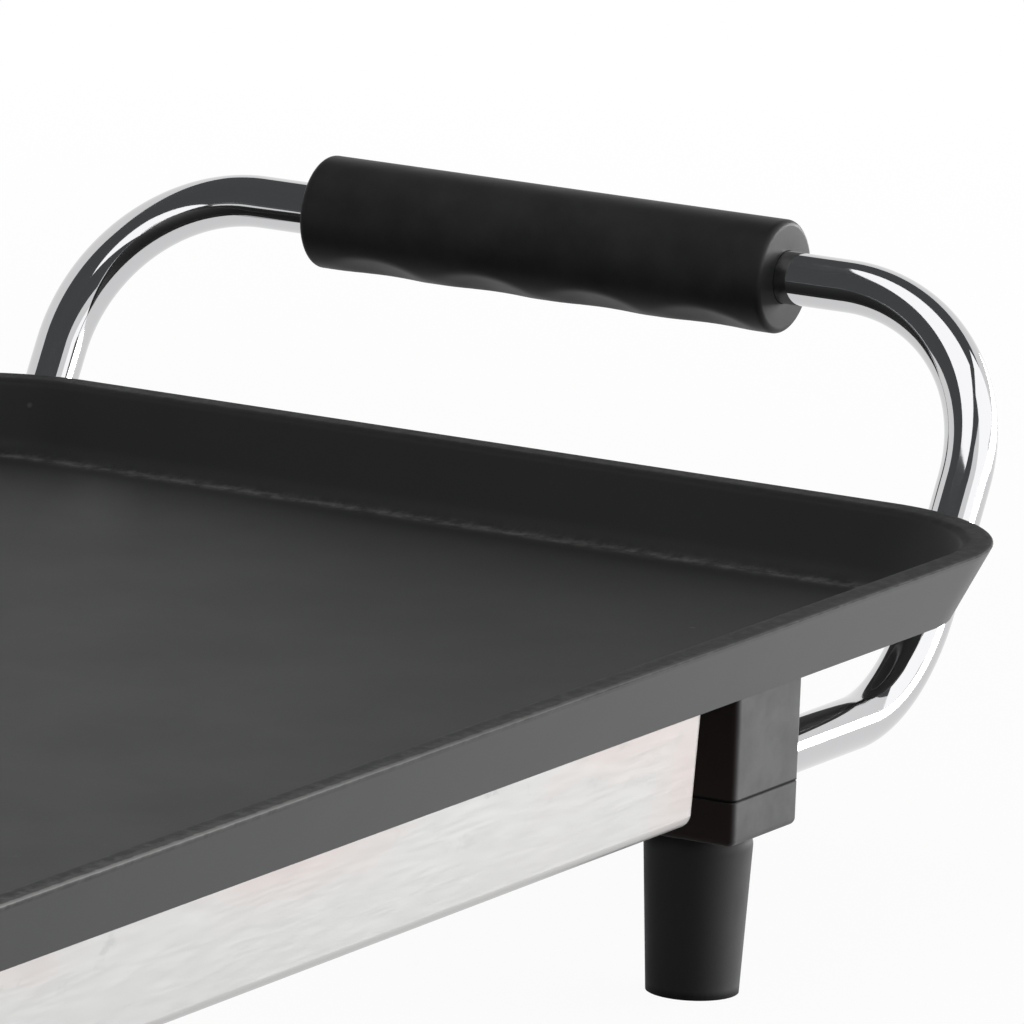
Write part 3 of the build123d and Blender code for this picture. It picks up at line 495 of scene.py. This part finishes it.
def sheet_finish(base):
    """Bright rolled sheet: grain drawn along the plate, grey smudges and a few rosy heat tints.

    Smudges and tints keep to the upper part of the walls, and the tints reach down at the ends as well.
    """
    finish = Finish("rolled_sheet")
    level = finish.drawn(0.5)
    along, _, height = finish.axes()
    upper = finish.spread(height, 47 * MM, 57 * MM, to=(0.08, 1.0))
    ends = finish.spread(finish.apart(along), 318 * MM, 334 * MM)
    dots = finish.spread(finish.noise(190.0, detail=4.0, rough=0.6, place=level), 0.56, 0.66)
    where = finish.spread(finish.noise(34.0, detail=2.0, place=level), 0.47, 0.62, to=(0.0, 0.8))
    smudge = finish.times(finish.times(dots, where), upper)
    blush = finish.spread(finish.noise(30.0, place=level), 0.50, 0.66)
    heat = finish.times(blush, finish.math("MAXIMUM", upper, ends))
    rosy = tuple(channel * share for channel, share in zip(base, HEAT_TINT))
    tinted = finish.tint(heat, base, rosy)
    finish.give("Base Color", finish.tint(smudge, tinted, shade(base, 0.66)))
    finish.give("Metallic", 1.0)
    grain = finish.noise(1600.0, place=finish.drawn(0.06))
    finish.give("Roughness", finish.spread(grain, 0.3, 0.7, to=(0.33, 0.38)))
    finish.bump(grain, strength=0.07, depth=0.02 * MM)
    return finish


def lens_finish(base):
    """Translucent moulded plastic with a faint cloud in it."""
    finish = Finish("amber_lens")
    cloud = finish.spread(finish.noise(900.0), 0.3, 0.7)
    finish.give("Base Color", finish.tint(cloud, shade(base, 0.8), base))
    finish.give("Roughness", finish.spread(cloud, 0.0, 1.0, to=(0.10, 0.16)))
    finish.give("Transmission Weight", 0.35)
    finish.give("IOR", 1.49)
    return finish


def dress(node, finish):
    """Give a carried-over node its finish."""
    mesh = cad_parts[node].data
    mesh.materials.clear()
    mesh.materials.append(finish.material)


def settle(piece, body, slot, *nodes):
    """Let a piece ride on its body and stand for its nodes, which it hides. The slot is not used."""
    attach(piece, body)
    if nodes:
        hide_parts(*nodes)
    return piece


class GRIDDLE_OT_plate(bpy.types.Operator):
    """Cast plate: one profile carried round the rim, from the underside over the band to the dish's floor"""

    bl_idname = "griddle.plate"
    bl_label = "Cast plate"

    # Roundings of the rim's outer and inner edge and of the underside
    rim_edge, land_edge, under_edge = 0.4 * MM, 2.5 * MM, 0.6 * MM

    def execute(self, context):
        s = context.scene.griddle_plate
        profile = self.profile(s)
        lean = atan2(s.flare, s.band)
        trim = self.rim_edge * ((1 + sin(lean)) / cos(lean) - 1)
        half_x = (PLATE_HIGH.x - PLATE_LOW.x) / 2 + trim
        half_y = (PLATE_HIGH.y - PLATE_LOW.y) / 2 + trim
        pattern = ring_pattern(corner_steps=28, long_steps=40, wide_steps=12)
        points = ring_stack(profile, half_x, half_y, s.corner, pattern, PLATE_MIDDLE)
        piece = mesh_piece("cast_plate", points, grid_faces(*points.shape[:2]), coated_finish(s))
        for name, near in self.maps(s, profile).items():
            values = np.repeat(near, len(pattern)).astype(np.float32)
            piece.data.attributes.new(name, "FLOAT", "POINT").data.foreach_set("value", values)
        settle(piece, "griddle", "nonstick_plate", "griddle_plate")
        return {"FINISHED"}

    def profile(self, s):
        """Points of (inset from the rim, height): arcs at the corners, short runs where wear is drawn."""
        rim = PLATE_HIGH.z
        band_foot, dish_floor = rim - s.band, rim - s.depth
        far = 70 * MM
        corners = [
            (far, dish_floor - s.floor),
            (s.step, dish_floor - s.floor),
            (s.step, band_foot),
            (s.flare, band_foot),
            (0.0, rim),
            (s.land, rim),
            (s.land + s.depth * s.flare / s.band, dish_floor),
            (far, dish_floor),
        ]
        radii = [self.under_edge] * 3 + [self.rim_edge, self.land_edge, s.fillet]
        outline = rounded_line(corners, radii, steps=8)
        rows_past_fillet = np.outer([1, 2, 3, 4, 6, 9], [MM, 0]) + outline[-2:-1]
        return np.vstack([outline[:1], divided(outline[1:-1], step=0.8 * MM), rows_past_fillet, outline[-1:]])

    def maps(self, s, profile):
        """Shares that the coating reads: the rim's edge, its land, the foot of the wall and the outside.

        Edge and foot fade as exp(-(distance / width)^2).
        """
        rim = PLATE_HIGH.z
        edge_wide, edge_high, land_high, foot_wide = 2.4 * MM, 0.5 * MM, 0.6 * MM, 2.0 * MM
        foot = s.land + s.depth * s.flare / s.band + 0.8 * s.fillet
        inset, height = profile.T
        from_foot = (inset - foot) ** 2 + (height - rim + s.depth) ** 2
        return {
            "edge": np.exp(-((inset / edge_wide) ** 2) - ((height - rim) / edge_high) ** 2),
            "land": (np.abs(height - rim) < land_high) * np.clip(1.2 - inset / s.land, 0, 1) ** 0.3,
            "ridge": np.exp(-from_foot / foot_wide**2),
            "outside": np.arange(len(profile)) < np.argmin(inset),
        }


class GRIDDLE_OT_handles(bpy.types.Operator):
    """End handles: a circle carried along the bent tube's line, and a grooved sleeve on it"""

    bl_idname = "griddle.handles"
    bl_label = "End handles"

    def execute(self, context):
        s = context.scene.griddle_handle
        chrome = chrome_finish(s)
        plastic = grained_finish("grip_plastic", s.grip, 0.42, grain=2200.0, gloss=0.06)
        for name, end in ENDS.items():
            tube = self.tube(name, end, s, chrome)
            settle(tube, "griddle", "handle_chrome", f"{name}_handle_tube")
            grip = self.grip(name, end, s, plastic)
            settle(grip, "griddle", "grip_plastic", f"{name}_handle_grip")
        return {"FINISHED"}

    def tube(self, name, end, s, chrome):
        """The tube's line has straight runs and four bends, and leans out over the end of the plate."""
        slope = tan(s.lean)
        seat_y, seat_z = TUBE_LOW.y + s.tube, TUBE_LOW.z + s.tube
        far_y = TUBE_HIGH.y - s.tube
        grip_x, grip_z = TUBE_HIGH.x - s.tube, TUBE_HIGH.z - s.tube
        foot_x = grip_x - (grip_z - seat_z) * slope
        line = [
            (end * TUBE_LOW.x, seat_y, seat_z),
            (end * foot_x, seat_y, seat_z),
            (end * grip_x, seat_y, grip_z),
            (end * grip_x, far_y, grip_z),
            (end * foot_x, far_y, seat_z),
            (end * TUBE_LOW.x, far_y, seat_z),
        ]
        path = rounded_line(line, [s.bend] * 4, steps=36)
        across = np.array([end * 1.0, 0.0, -slope]) / np.hypot(1.0, slope)
        points = tube_grid(path, s.tube, across, sides=64)
        return mesh_piece(f"{name}_chrome_tube", points, grid_faces(*points.shape[:2]), chrome)

    def grip(self, name, end, s, plastic):
        """Sleeve of radius r(s, a): a circle cut by the grooves, which run across its underside.

        A groove's floor lies at h = R - depth + Rg - sqrt(Rg^2 - d^2) from the axis, d along the grip from
        the groove's middle, so r is the smaller of R and h / cos a, with a soft change between them.
        """
        middle = (GRIP_LOW + GRIP_HIGH) / 2
        radius = (GRIP_HIGH.z - GRIP_LOW.z) / 2
        half = (GRIP_HIGH.y - GRIP_LOW.y) / 2
        bore, bore_depth = s.tube + 0.1 * MM, 3 * MM
        rows, sides = 160, 96
        # Rows along the sleeve: out of the bore, round an end, over the body, and the same backwards
        round_turn = np.linspace(0, pi / 2, 9)
        along_end = half - s.edge * (1 - np.sin(round_turn))
        radius_end = radius - s.edge * (1 - np.cos(round_turn))
        body = np.linspace(-half + s.edge, half - s.edge, rows)[1:-1]
        along = np.concatenate(
            [[bore_depth - half, -half], -along_end[::-1], body, along_end, [half, half - bore_depth]]
        )
        outer = np.concatenate(
            [[bore, bore], radius_end[::-1], np.full(len(body), radius), radius_end, [bore, bore]]
        )
        # Grooves, blended with the circle over a soft width
        angle = np.linspace(0, 2 * pi, sides, endpoint=False)
        first = -(s.grooves - 1) / 2 * s.pitch
        nearest = first + s.pitch * np.clip(np.round((along - first) / s.pitch), 0, s.grooves - 1)
        off = np.clip(np.abs(along - nearest), 0, 0.9 * s.sweep)
        floor = radius - s.groove + s.sweep - np.sqrt(s.sweep**2 - off**2)
        least_cosine, soft, hair = 0.2, 0.5 * MM, 0.01 * MM
        limit = floor[:, None] / np.maximum(np.cos(angle), least_cosine)[None]
        gap = np.clip(0.5 + (limit - outer[:, None]) / (2 * soft), 0, 1)
        reach = limit * (1 - gap) + outer[:, None] * gap - soft * gap * (1 - gap)
        reach = np.where(outer[:, None] < radius - s.edge - hair, outer[:, None], reach)
        down = np.array([-end * sin(s.lean), 0.0, -cos(s.lean)])
        side = np.array([end * cos(s.lean), 0.0, -sin(s.lean)])
        points = (
            np.array([end * middle.x, middle.y, middle.z])
            + along[:, None, None] * np.array([0.0, 1.0, 0.0])
            + reach[..., None] * (np.cos(angle)[None, :, None] * down + np.sin(angle)[None, :, None] * side)
        )
        return mesh_piece(f"{name}_grip", points, grid_faces(*points.shape[:2], wrap_rows=True), plastic)


class GRIDDLE_OT_legs(bpy.types.Operator):
    """Moulded leg blocks and round feet"""

    bl_idname = "griddle.legs"
    bl_label = "Legs"

    def execute(self, context):
        s = context.scene.griddle_finish
        block_plastic = leg_finish("leg_plastic", s.leg, s.leg)
        foot_plastic = leg_finish("foot_plastic", s.leg, s.foot)
        for side in SIDES:
            for end in ENDS:
                dress(f"{side}_{end}_leg_block", block_plastic)
                dress(f"{side}_{end}_foot", foot_plastic)
        return {"FINISHED"}


class GRIDDLE_OT_tray(bpy.types.Operator):
    """Heat shield tray"""

    bl_idname = "griddle.tray"
    bl_label = "Heat shield tray"

    def execute(self, context):
        dress("heat_shield_tray", sheet_finish(context.scene.griddle_finish.sheet))
        return {"FINISHED"}


class GRIDDLE_OT_inside(bpy.types.Operator):
    """Element, straps, pins, the inlet's shroud and what the control holds"""

    bl_idname = "griddle.inside"
    bl_label = "Element and inlet"

    # Node, finish, colour and roughness
    metals = (
        ("heating_element", "annealed_sheath", (0.16, 0.14, 0.13), 0.45),
        ("element_straps", "plated_strip", (0.55, 0.55, 0.55), 0.34),
        ("inlet_shroud", "plated_shroud", (0.52, 0.52, 0.52), 0.36),
        ("terminal_pins", "nickel_pins", (0.66, 0.64, 0.60), 0.18),
        ("temperature_probe", "probe_tube", (0.62, 0.62, 0.61), 0.22),
        ("dial_shaft", "turned_shaft", (0.6, 0.6, 0.59), 0.25),
    )

    def execute(self, context):
        s = context.scene.griddle_finish
        for node, name, base, rough in self.metals:
            dress(node, grained_finish(name, base, rough, metallic=1.0))
        zinc = grained_finish("zinc_plating", s.zinc, 0.32, metallic=1.0, grain=1800.0)
        dress("strap_screws", zinc)
        dress("inlet_screws", zinc)
        brass = grained_finish("contact_brass", (0.72, 0.53, 0.24), 0.28, metallic=1.0)
        dress("contact_sleeves", brass)
        dress("earth_springs", brass)
        dress("terminal_beads", grained_finish("ceramic_beads", (0.80, 0.77, 0.70), 0.5, contrast=0.08))
        dress("thermostat_switch", grained_finish("switch_body", (0.48, 0.45, 0.38), 0.5, contrast=0.1))
        dress("contact_block", grained_finish("thermoset_block", (0.05, 0.03, 0.024), 0.35))
        return {"FINISHED"}


class GRIDDLE_OT_screws(bpy.types.Operator):
    """Pan head screws under the tray, the feet and the control, each with a cross recess"""

    bl_idname = "griddle.screws"
    bl_label = "Screws"

    # Node, body, then the head's radius and height and the shank's radius in millimetres
    sets = (
        ("tray_screws", "griddle", 3.8, 2.2, 2.0),
        ("leg_screws", "griddle", 3.9, 2.6, 2.0),
        ("control_screws", "control", 2.6, 1.8, 1.4),
    )
    # Screws of a set that stand between its four corners, from its middle in millimetres
    between = {"tray_screws": [(-110.0, 0.0), (110.0, 0.0)]}

    def execute(self, context):
        s = context.scene.griddle_finish
        zinc = grained_finish("screw_plating", s.zinc, 0.3, metallic=1.0, grain=1800.0)
        signs = np.array([(-1, -1), (1, -1), (1, 1), (-1, 1)], float)
        for node, body, head, thick, shank in self.sets:
            low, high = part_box(node)
            centre = np.array((low + high) / 2)[:2]
            to_corner = np.array((high - low) / 2)[:2] - head * MM
            offsets = np.vstack([signs * to_corner, np.reshape(self.between.get(node, []), (-1, 2)) * MM])
            sizes = head * MM, thick * MM, shank * MM
            piece = self.heads(node, centre + offsets, *sizes, low.z, high.z, zinc)
            settle(piece, body, "zinc_screw", node)
        return {"FINISHED"}

    def heads(self, node, places, head, thick, shank, low, high, zinc):
        """A profile of (radius, height) turned about each screw's axis, a cross sunk into its lower face.

        The cross is where a bar across x or a bar across y covers the point, with sloping sides.
        """
        rounding, hair = 0.45 * thick, 0.02 * MM
        wide, reach, slope, depth = 0.13 * head, 0.55 * head, 0.12 * MM, 0.5 * thick
        turn = np.linspace(0, pi / 2, 9)[1:]
        flat = np.linspace(hair, head - rounding, 22)
        radius = np.concatenate([flat, (head - rounding) + rounding * np.sin(turn), [head, shank, shank]])
        height = np.concatenate([flat * 0, rounding * (1 - np.cos(turn)), [thick, thick, high - low]])
        angle = np.linspace(0, 2 * pi, 64, endpoint=False)
        x, y = np.outer(radius, np.cos(angle)), np.outer(radius, np.sin(angle))
        bars = [
            np.clip((wide - np.abs(a)) / slope, 0, 1) * np.clip((reach - np.abs(b)) / slope, 0, 1)
            for a, b in ((x, y), (y, x))
        ]
        sunk = depth * np.maximum(*bars) * (np.arange(len(radius)) < len(flat))[:, None]
        one = np.stack([x, y, low + height[:, None] + sunk], -1)
        points = one[None] + np.pad(places, ((0, 0), (0, 1)))[:, None, None]
        count = one.shape[0] * one.shape[1]
        faces = [group for k in range(len(places)) for group in grid_faces(*one.shape[:2], first=count * k)]
        return mesh_piece(f"cross_{node}", points, faces, zinc, angle=25.0)


class GRIDDLE_OT_control(bpy.types.Operator):
    """Case, dial, pilot lens and gland of the plug-in control, and the marks printed on it"""

    bl_idname = "griddle.control"
    bl_label = "Temperature control"

    # Numbers on the scale, and how far the print is sunk into its face and stands out of it
    steps = 5
    sunk, proud = 0.02 * MM, 0.05 * MM

    def execute(self, context):
        s = context.scene.griddle_finish
        case = seamed(grained_finish("case_plastic", s.case, 0.48, grain=1700.0, depth=0.04), CASE_LOW.z)
        dress("control_top_shell", case)
        dress("control_bottom_shell", case)
        dress("temperature_dial", grained_finish("dial_plastic", s.case, 0.3, grain=2400.0))
        dress("pilot_lens", lens_finish(s.amber))
        dress("cord_gland", grained_finish("gland_rubber", (0.018, 0.018, 0.018), 0.6, grain=1500.0))
        ink = grained_finish("printed_marks", s.marks, 0.6, grain=3000.0, contrast=0.05)
        settle(self.scale(ink), "control", "control_plastic")
        for number in range(1, self.steps + 1):
            settle(self.digit(number, ink), "control", "control_plastic")
        settle(self.pointer(ink), "dial", "dial_plastic")
        return {"FINISHED"}

    def turned(self, share):
        """Direction of a dial setting: from the lens round clockwise, over three quarters of a turn."""
        angle = -pi / 2 - np.asarray(share) * 1.5 * pi
        return np.stack([np.cos(angle), np.sin(angle)], -1)

    def strokes(self, name, out, inner, outer, half, face, ink):
        """Thin flat bars on a face that run out from the dial's middle along the given directions."""
        aside = half * np.stack([-out[:, 1], out[:, 0]], -1)
        near, far = out * inner[:, None], out * outer[:, None]
        plan = np.stack([near - aside, far - aside, far + aside, near + aside], 1)
        plan = plan + np.array(DIAL_MIDDLE)[:2]
        heights = face - self.sunk, face + self.proud
        layers = [np.concatenate([plan, np.full((*plan.shape[:2], 1), z)], -1) for z in heights]
        points = np.concatenate(layers, 1)
        faces = [group for k in range(len(out)) for group in grid_faces(2, 4, first=8 * k)]
        return mesh_piece(name, points, faces, ink)

    def scale(self, ink):
        """Long strokes at the numbers and short ones between, printed on the case round the dial."""
        start, long_stroke, short_stroke, half = 23.8 * MM, 1.6 * MM, 1.0 * MM, 0.22 * MM
        count = 2 * self.steps + 1
        inner = np.full(count, start)
        outer = inner + np.where(np.arange(count) % 2 == 0, long_stroke, short_stroke)
        out = self.turned(np.linspace(0, 1, count))
        return self.strokes("dial_scale", out, inner, outer, half, CASE_HIGH.z, ink)

    def pointer(self, ink):
        """White stroke on the dial's rib."""
        inner, outer, half = np.array([18.2 * MM]), np.array([21.8 * MM]), 0.45 * MM
        rib = DIAL_LOW.z + POINTER_TOP
        return self.strokes("dial_pointer", self.turned([0.0]), inner, outer, half, rib, ink)

    def digit(self, number, ink):
        """A plain number, upright to someone who looks from the dial outwards.

        The letter's x and y run along right and up, where up is the direction out from the dial's middle.
        """
        from_middle, lift = 27.3 * MM, 0.015 * MM
        curve = bpy.data.curves.new(f"digit_{number}", "FONT")
        curve.body = str(number)
        curve.size = 4.4 * MM
        curve.offset = 0.08 * MM
        curve.extrude = 0.035 * MM
        letter = bpy.data.objects.new(curve.name, curve)
        bpy.context.scene.collection.objects.link(letter)
        solid = bpy.data.meshes.new_from_object(letter.evaluated_get(bpy.context.evaluated_depsgraph_get()))
        corners = np.empty(len(solid.vertices) * 3)
        solid.vertices.foreach_get("co", corners)
        points, order = np.unique(corners.reshape(-1, 3).round(7), axis=0, return_inverse=True)
        points = points - (points.min(0) + points.max(0)) / 2
        faces = [order.reshape(-1)[np.array([polygon.vertices[:]])] for polygon in solid.polygons]
        bpy.data.objects.remove(letter)
        bpy.data.curves.remove(curve)
        bpy.data.meshes.remove(solid)
        out = self.turned(number / self.steps)
        right, up = np.array([out[1], -out[0], 0.0]), np.array([out[0], out[1], 0.0])
        place = np.array([DIAL_MIDDLE.x, DIAL_MIDDLE.y, CASE_HIGH.z + lift]) + from_middle * up
        turned = points @ np.stack([right, up, (0.0, 0.0, 1.0)])
        return mesh_piece(f"dial_digit_{number}", place + turned, faces, ink)


class GRIDDLE_OT_stage(bpy.types.Operator):
    """Pale floor, soft lights and the camera"""

    bl_idname = "griddle.stage"
    bl_label = "Studio"

    def execute(self, context):
        self.camera(context.scene, context.scene.griddle_stage)
        self.world(context.scene)
        self.floor()
        self.drapes()
        self.cards()
        self.lamps()
        context.scene.view_settings.view_transform = "Standard"
        return {"FINISHED"}

    def camera(self, scene, s):
        """The view looks along (cos dip sin heading, cos dip cos heading, -sin dip), rolled about itself."""
        ahead = Vector((cos(s.dip) * sin(s.heading), cos(s.dip) * cos(s.heading), -sin(s.dip)))
        level = Vector((cos(s.heading), -sin(s.heading), 0.0))
        below = ahead.cross(level)
        right = cos(s.roll) * level + sin(s.roll) * below
        down = cos(s.roll) * below - sin(s.roll) * level
        data = bpy.data.cameras.new("photo_view")
        data.sensor_width = 36.0
        data.lens = s.lens
        data.clip_end = 60.0
        eye = bpy.data.objects.new("photo_view", data)
        scene.collection.objects.link(eye)
        turn = Matrix((right, -down, -ahead)).transposed().to_4x4()
        eye.matrix_world = Matrix.Translation(Vector(s.station)) @ turn
        scene.camera = eye

    def world(self, scene):
        """White for the camera, gloss and glass, and a soft grey fill for everything else."""
        world = bpy.data.worlds.new("studio")
        world.use_nodes = True
        tree = world.node_tree
        tree.nodes.clear()
        fill, white = (
            add_node(tree, "ShaderNodeBackground", {"Color": self.grey(1.0), "Strength": strength}).outputs[0]
            for strength in (0.08, 1.0)
        )
        mix = add_node(tree, "ShaderNodeMixShader", {0: self.seen(tree), 1: fill, 2: white})
        add_node(tree, "ShaderNodeOutputWorld", {"Surface": mix.outputs[0]})
        scene.world = world

    def grey(self, tone):
        """A neutral colour."""
        return tone, tone, tone, 1.0

    def seen(self, tree):
        """One for rays from the camera, from gloss and through glass."""
        path = add_node(tree, "ShaderNodeLightPath").outputs
        total = path["Is Camera Ray"]
        for ray in ("Is Glossy Ray", "Is Transmission Ray"):
            total = add_node(tree, "ShaderNodeMath", {0: total, 1: path[ray]}, operation="MAXIMUM").outputs[0]
        return total

    def plain(self, name):
        """A material whose nodes are all still to come."""
        material = bpy.data.materials.new(name)
        material.use_nodes = True
        material.node_tree.nodes.clear()
        return material, material.node_tree

    def sheet(self, name, corners, material):
        """A flat sheet that belongs to the studio."""
        mesh = bpy.data.meshes.new(name)
        mesh.from_pydata(np.asarray(corners, float).tolist(), [], [(0, 1, 2, 3)])
        mesh.materials.append(material)
        sheet = bpy.data.objects.new(name, mesh)
        bpy.context.scene.collection.objects.link(sheet)
        return sheet

    def upright(self, name, start, end, low, high, material):
        """A sheet that stands between two points in plan and two heights."""
        (x0, y0), (x1, y1) = start, end
        return self.sheet(name, [(x0, y0, low), (x1, y1, low), (x1, y1, high), (x0, y0, high)], material)

    def level(self, name, x_range, y_range, z, material):
        """A sheet that lies level over two ranges in plan."""
        (x0, x1), (y0, y1) = x_range, y_range
        return self.sheet(name, [(x0, y0, z), (x1, y0, z), (x1, y1, z), (x0, y1, z)], material)

    def mirrored(self, card):
        """A card that only gloss sees."""
        card.visible_camera = card.visible_diffuse = card.visible_shadow = False

    def floor(self):
        """A wide pale floor. Where it is seen it glows white, less a share near the object for the shadow."""
        material, tree = self.plain("studio_floor")
        place = add_node(tree, "ShaderNodeTexCoord").outputs["Object"]
        ball = add_node(tree, "ShaderNodeMapping", {"Vector": place, "Scale": (0.8, 1.1, 1.0)})
        inputs = {"Vector": ball.outputs["Vector"]}
        near = add_node(tree, "ShaderNodeTexGradient", inputs, gradient_type="SPHERICAL").outputs["Fac"]
        white = map_range(tree, near, 0.0, 0.45, to=(1.0, 0.95))
        pale, bounce = (
            add_node(tree, "ShaderNodeBsdfDiffuse", {"Color": self.grey(tone)}).outputs[0]
            for tone in (0.85, 0.32)
        )
        glow = add_node(tree, "ShaderNodeEmission", {"Color": self.grey(1.0), "Strength": 1.0}).outputs[0]
        lit = add_node(tree, "ShaderNodeMixShader", {0: white, 1: pale, 2: glow}).outputs[0]
        mix = add_node(tree, "ShaderNodeMixShader", {0: self.seen(tree), 1: bounce, 2: lit})
        add_node(tree, "ShaderNodeOutputMaterial", {"Surface": mix.outputs[0]})
        reach = 25.0
        self.level("floor", (-reach, reach), (-reach, reach), 0.0, material)

    def drapes(self):
        """Black drapes on the camera's left that darken what faces that way, and dark sheets for the chrome.

        A faint cold glow keeps the chrome from mirroring pure black.
        """
        finish = Finish("studio_drape")
        finish.give("Base Color", self.grey(0.01))
        finish.give("Roughness", 1.0)
        finish.give("Emission Color", (0.92, 0.97, 1.0, 1.0))
        path = finish.add("ShaderNodeLightPath")
        glow = finish.spread(path.outputs["Is Glossy Ray"], 0.0, 1.0, to=(0.0, 0.08))
        finish.give("Emission Strength", glow)
        middle_x, away, low, high = 0.3, 2.2, 0.02, 3.0
        turns = np.radians([112.0, 154.0, 196.0, 238.0])
        ring = np.column_stack([middle_x + away * np.cos(turns), away * np.sin(turns)])
        for k, (start, end) in enumerate(zip(ring, ring[1:])):
            self.upright(f"drape_{k}", start, end, low, high, finish.material).visible_camera = False
        for name, x_range, y_range, z in (
            ("canopy", (-2.4, 3.4), (-2.4, 2.9), 2.8),
            ("end_mat", (-1.9, -0.6), (-1.0, 0.3), 0.004),
            ("back_mat", (-1.9, 0.2), (0.32, 1.4), 0.004),
        ):
            self.mirrored(self.level(name, x_range, y_range, z, finish.material))

    def cards(self):
        """White cards that draw the stripes on the chrome: three upright ones and one level over the end."""
        material, tree = self.plain("studio_card")
        glow = add_node(tree, "ShaderNodeEmission", {"Color": self.grey(1.0), "Strength": 1.6})
        add_node(tree, "ShaderNodeOutputMaterial", {"Surface": glow.outputs[0]})
        for name, start, end, low, high in (
            ("front_card", (0.2, -1.13), (1.0, -1.13), 0.0, 1.8),
            ("corner_card", (1.0, -1.13), (1.64, -0.95), 0.45, 1.8),
            ("end_card", (-1.3, 0.52), (-1.3, -0.33), 0.0, 0.9),
        ):
            self.mirrored(self.upright(name, start, end, low, high, material))
        self.mirrored(self.level("roof_card", (-0.60, 0.55), (-0.60, 0.38), 1.15, material))

    def lamps(self):
        """Softboxes, each turned towards the object's visible end. Gloss sees only the front one."""
        target = Vector((0.35, -0.1, 0.06))
        for name, place, size, watts in (
            ("front_softbox", (1.10, -0.72, 0.14), (1.5, 0.26), 19.0),
            ("back_softbox", (0.1, 1.7, 0.75), (2.2, 1.3), 9.0),
            ("top_softbox", (-0.25, -0.2, 1.15), (0.75, 0.9), 5.2),
        ):
            data = bpy.data.lights.new(name, "AREA")
            data.shape = "RECTANGLE"
            data.size, data.size_y = size
            data.energy = watts
            lamp = bpy.data.objects.new(name, data)
            lamp.location = place
            lamp.rotation_euler = (target - Vector(place)).to_track_quat("-Z", "Y").to_euler()
            lamp.visible_camera = False
            lamp.visible_glossy = name == "front_softbox"
            bpy.context.scene.collection.objects.link(lamp)


OPERATORS = (
    GRIDDLE_OT_plate,
    GRIDDLE_OT_handles,
    GRIDDLE_OT_legs,
    GRIDDLE_OT_tray,
    GRIDDLE_OT_inside,
    GRIDDLE_OT_screws,
    GRIDDLE_OT_control,
    GRIDDLE_OT_stage,
)
SETTINGS = {
    "griddle_plate": PlateSettings,
    "griddle_handle": HandleSettings,
    "griddle_finish": FinishSettings,
    "griddle_stage": StageSettings,
}


class GRIDDLE_PT_panel(bpy.types.Panel):
    """Lists the griddle's settings and builders"""

    bl_label = "Electric griddle"
    bl_idname = "GRIDDLE_PT_panel"
    bl_space_type = "VIEW_3D"
    bl_region_type = "UI"
    bl_category = "Griddle"

    def draw(self, context):
        for key, group in SETTINGS.items():
            box = self.layout.box()
            for name in group.__annotations__:
                box.prop(getattr(context.scene, key), name)
        for operator in OPERATORS:
            self.layout.operator(operator.bl_idname)


CLASSES = (*SETTINGS.values(), *OPERATORS, GRIDDLE_PT_panel)


def register():
    for cls in CLASSES:
        bpy.utils.register_class(cls)
    for key, group in SETTINGS.items():
        setattr(bpy.types.Scene, key, PointerProperty(type=group))


def unregister():
    for key in SETTINGS:
        delattr(bpy.types.Scene, key)
    for cls in reversed(CLASSES):
        bpy.utils.unregister_class(cls)


def main():
    """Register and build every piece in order."""
    register()
    for operator in OPERATORS:
        group, name = operator.bl_idname.split(".")
        getattr(getattr(bpy.ops, group), name)()


if __name__ == "__main__":
    main()
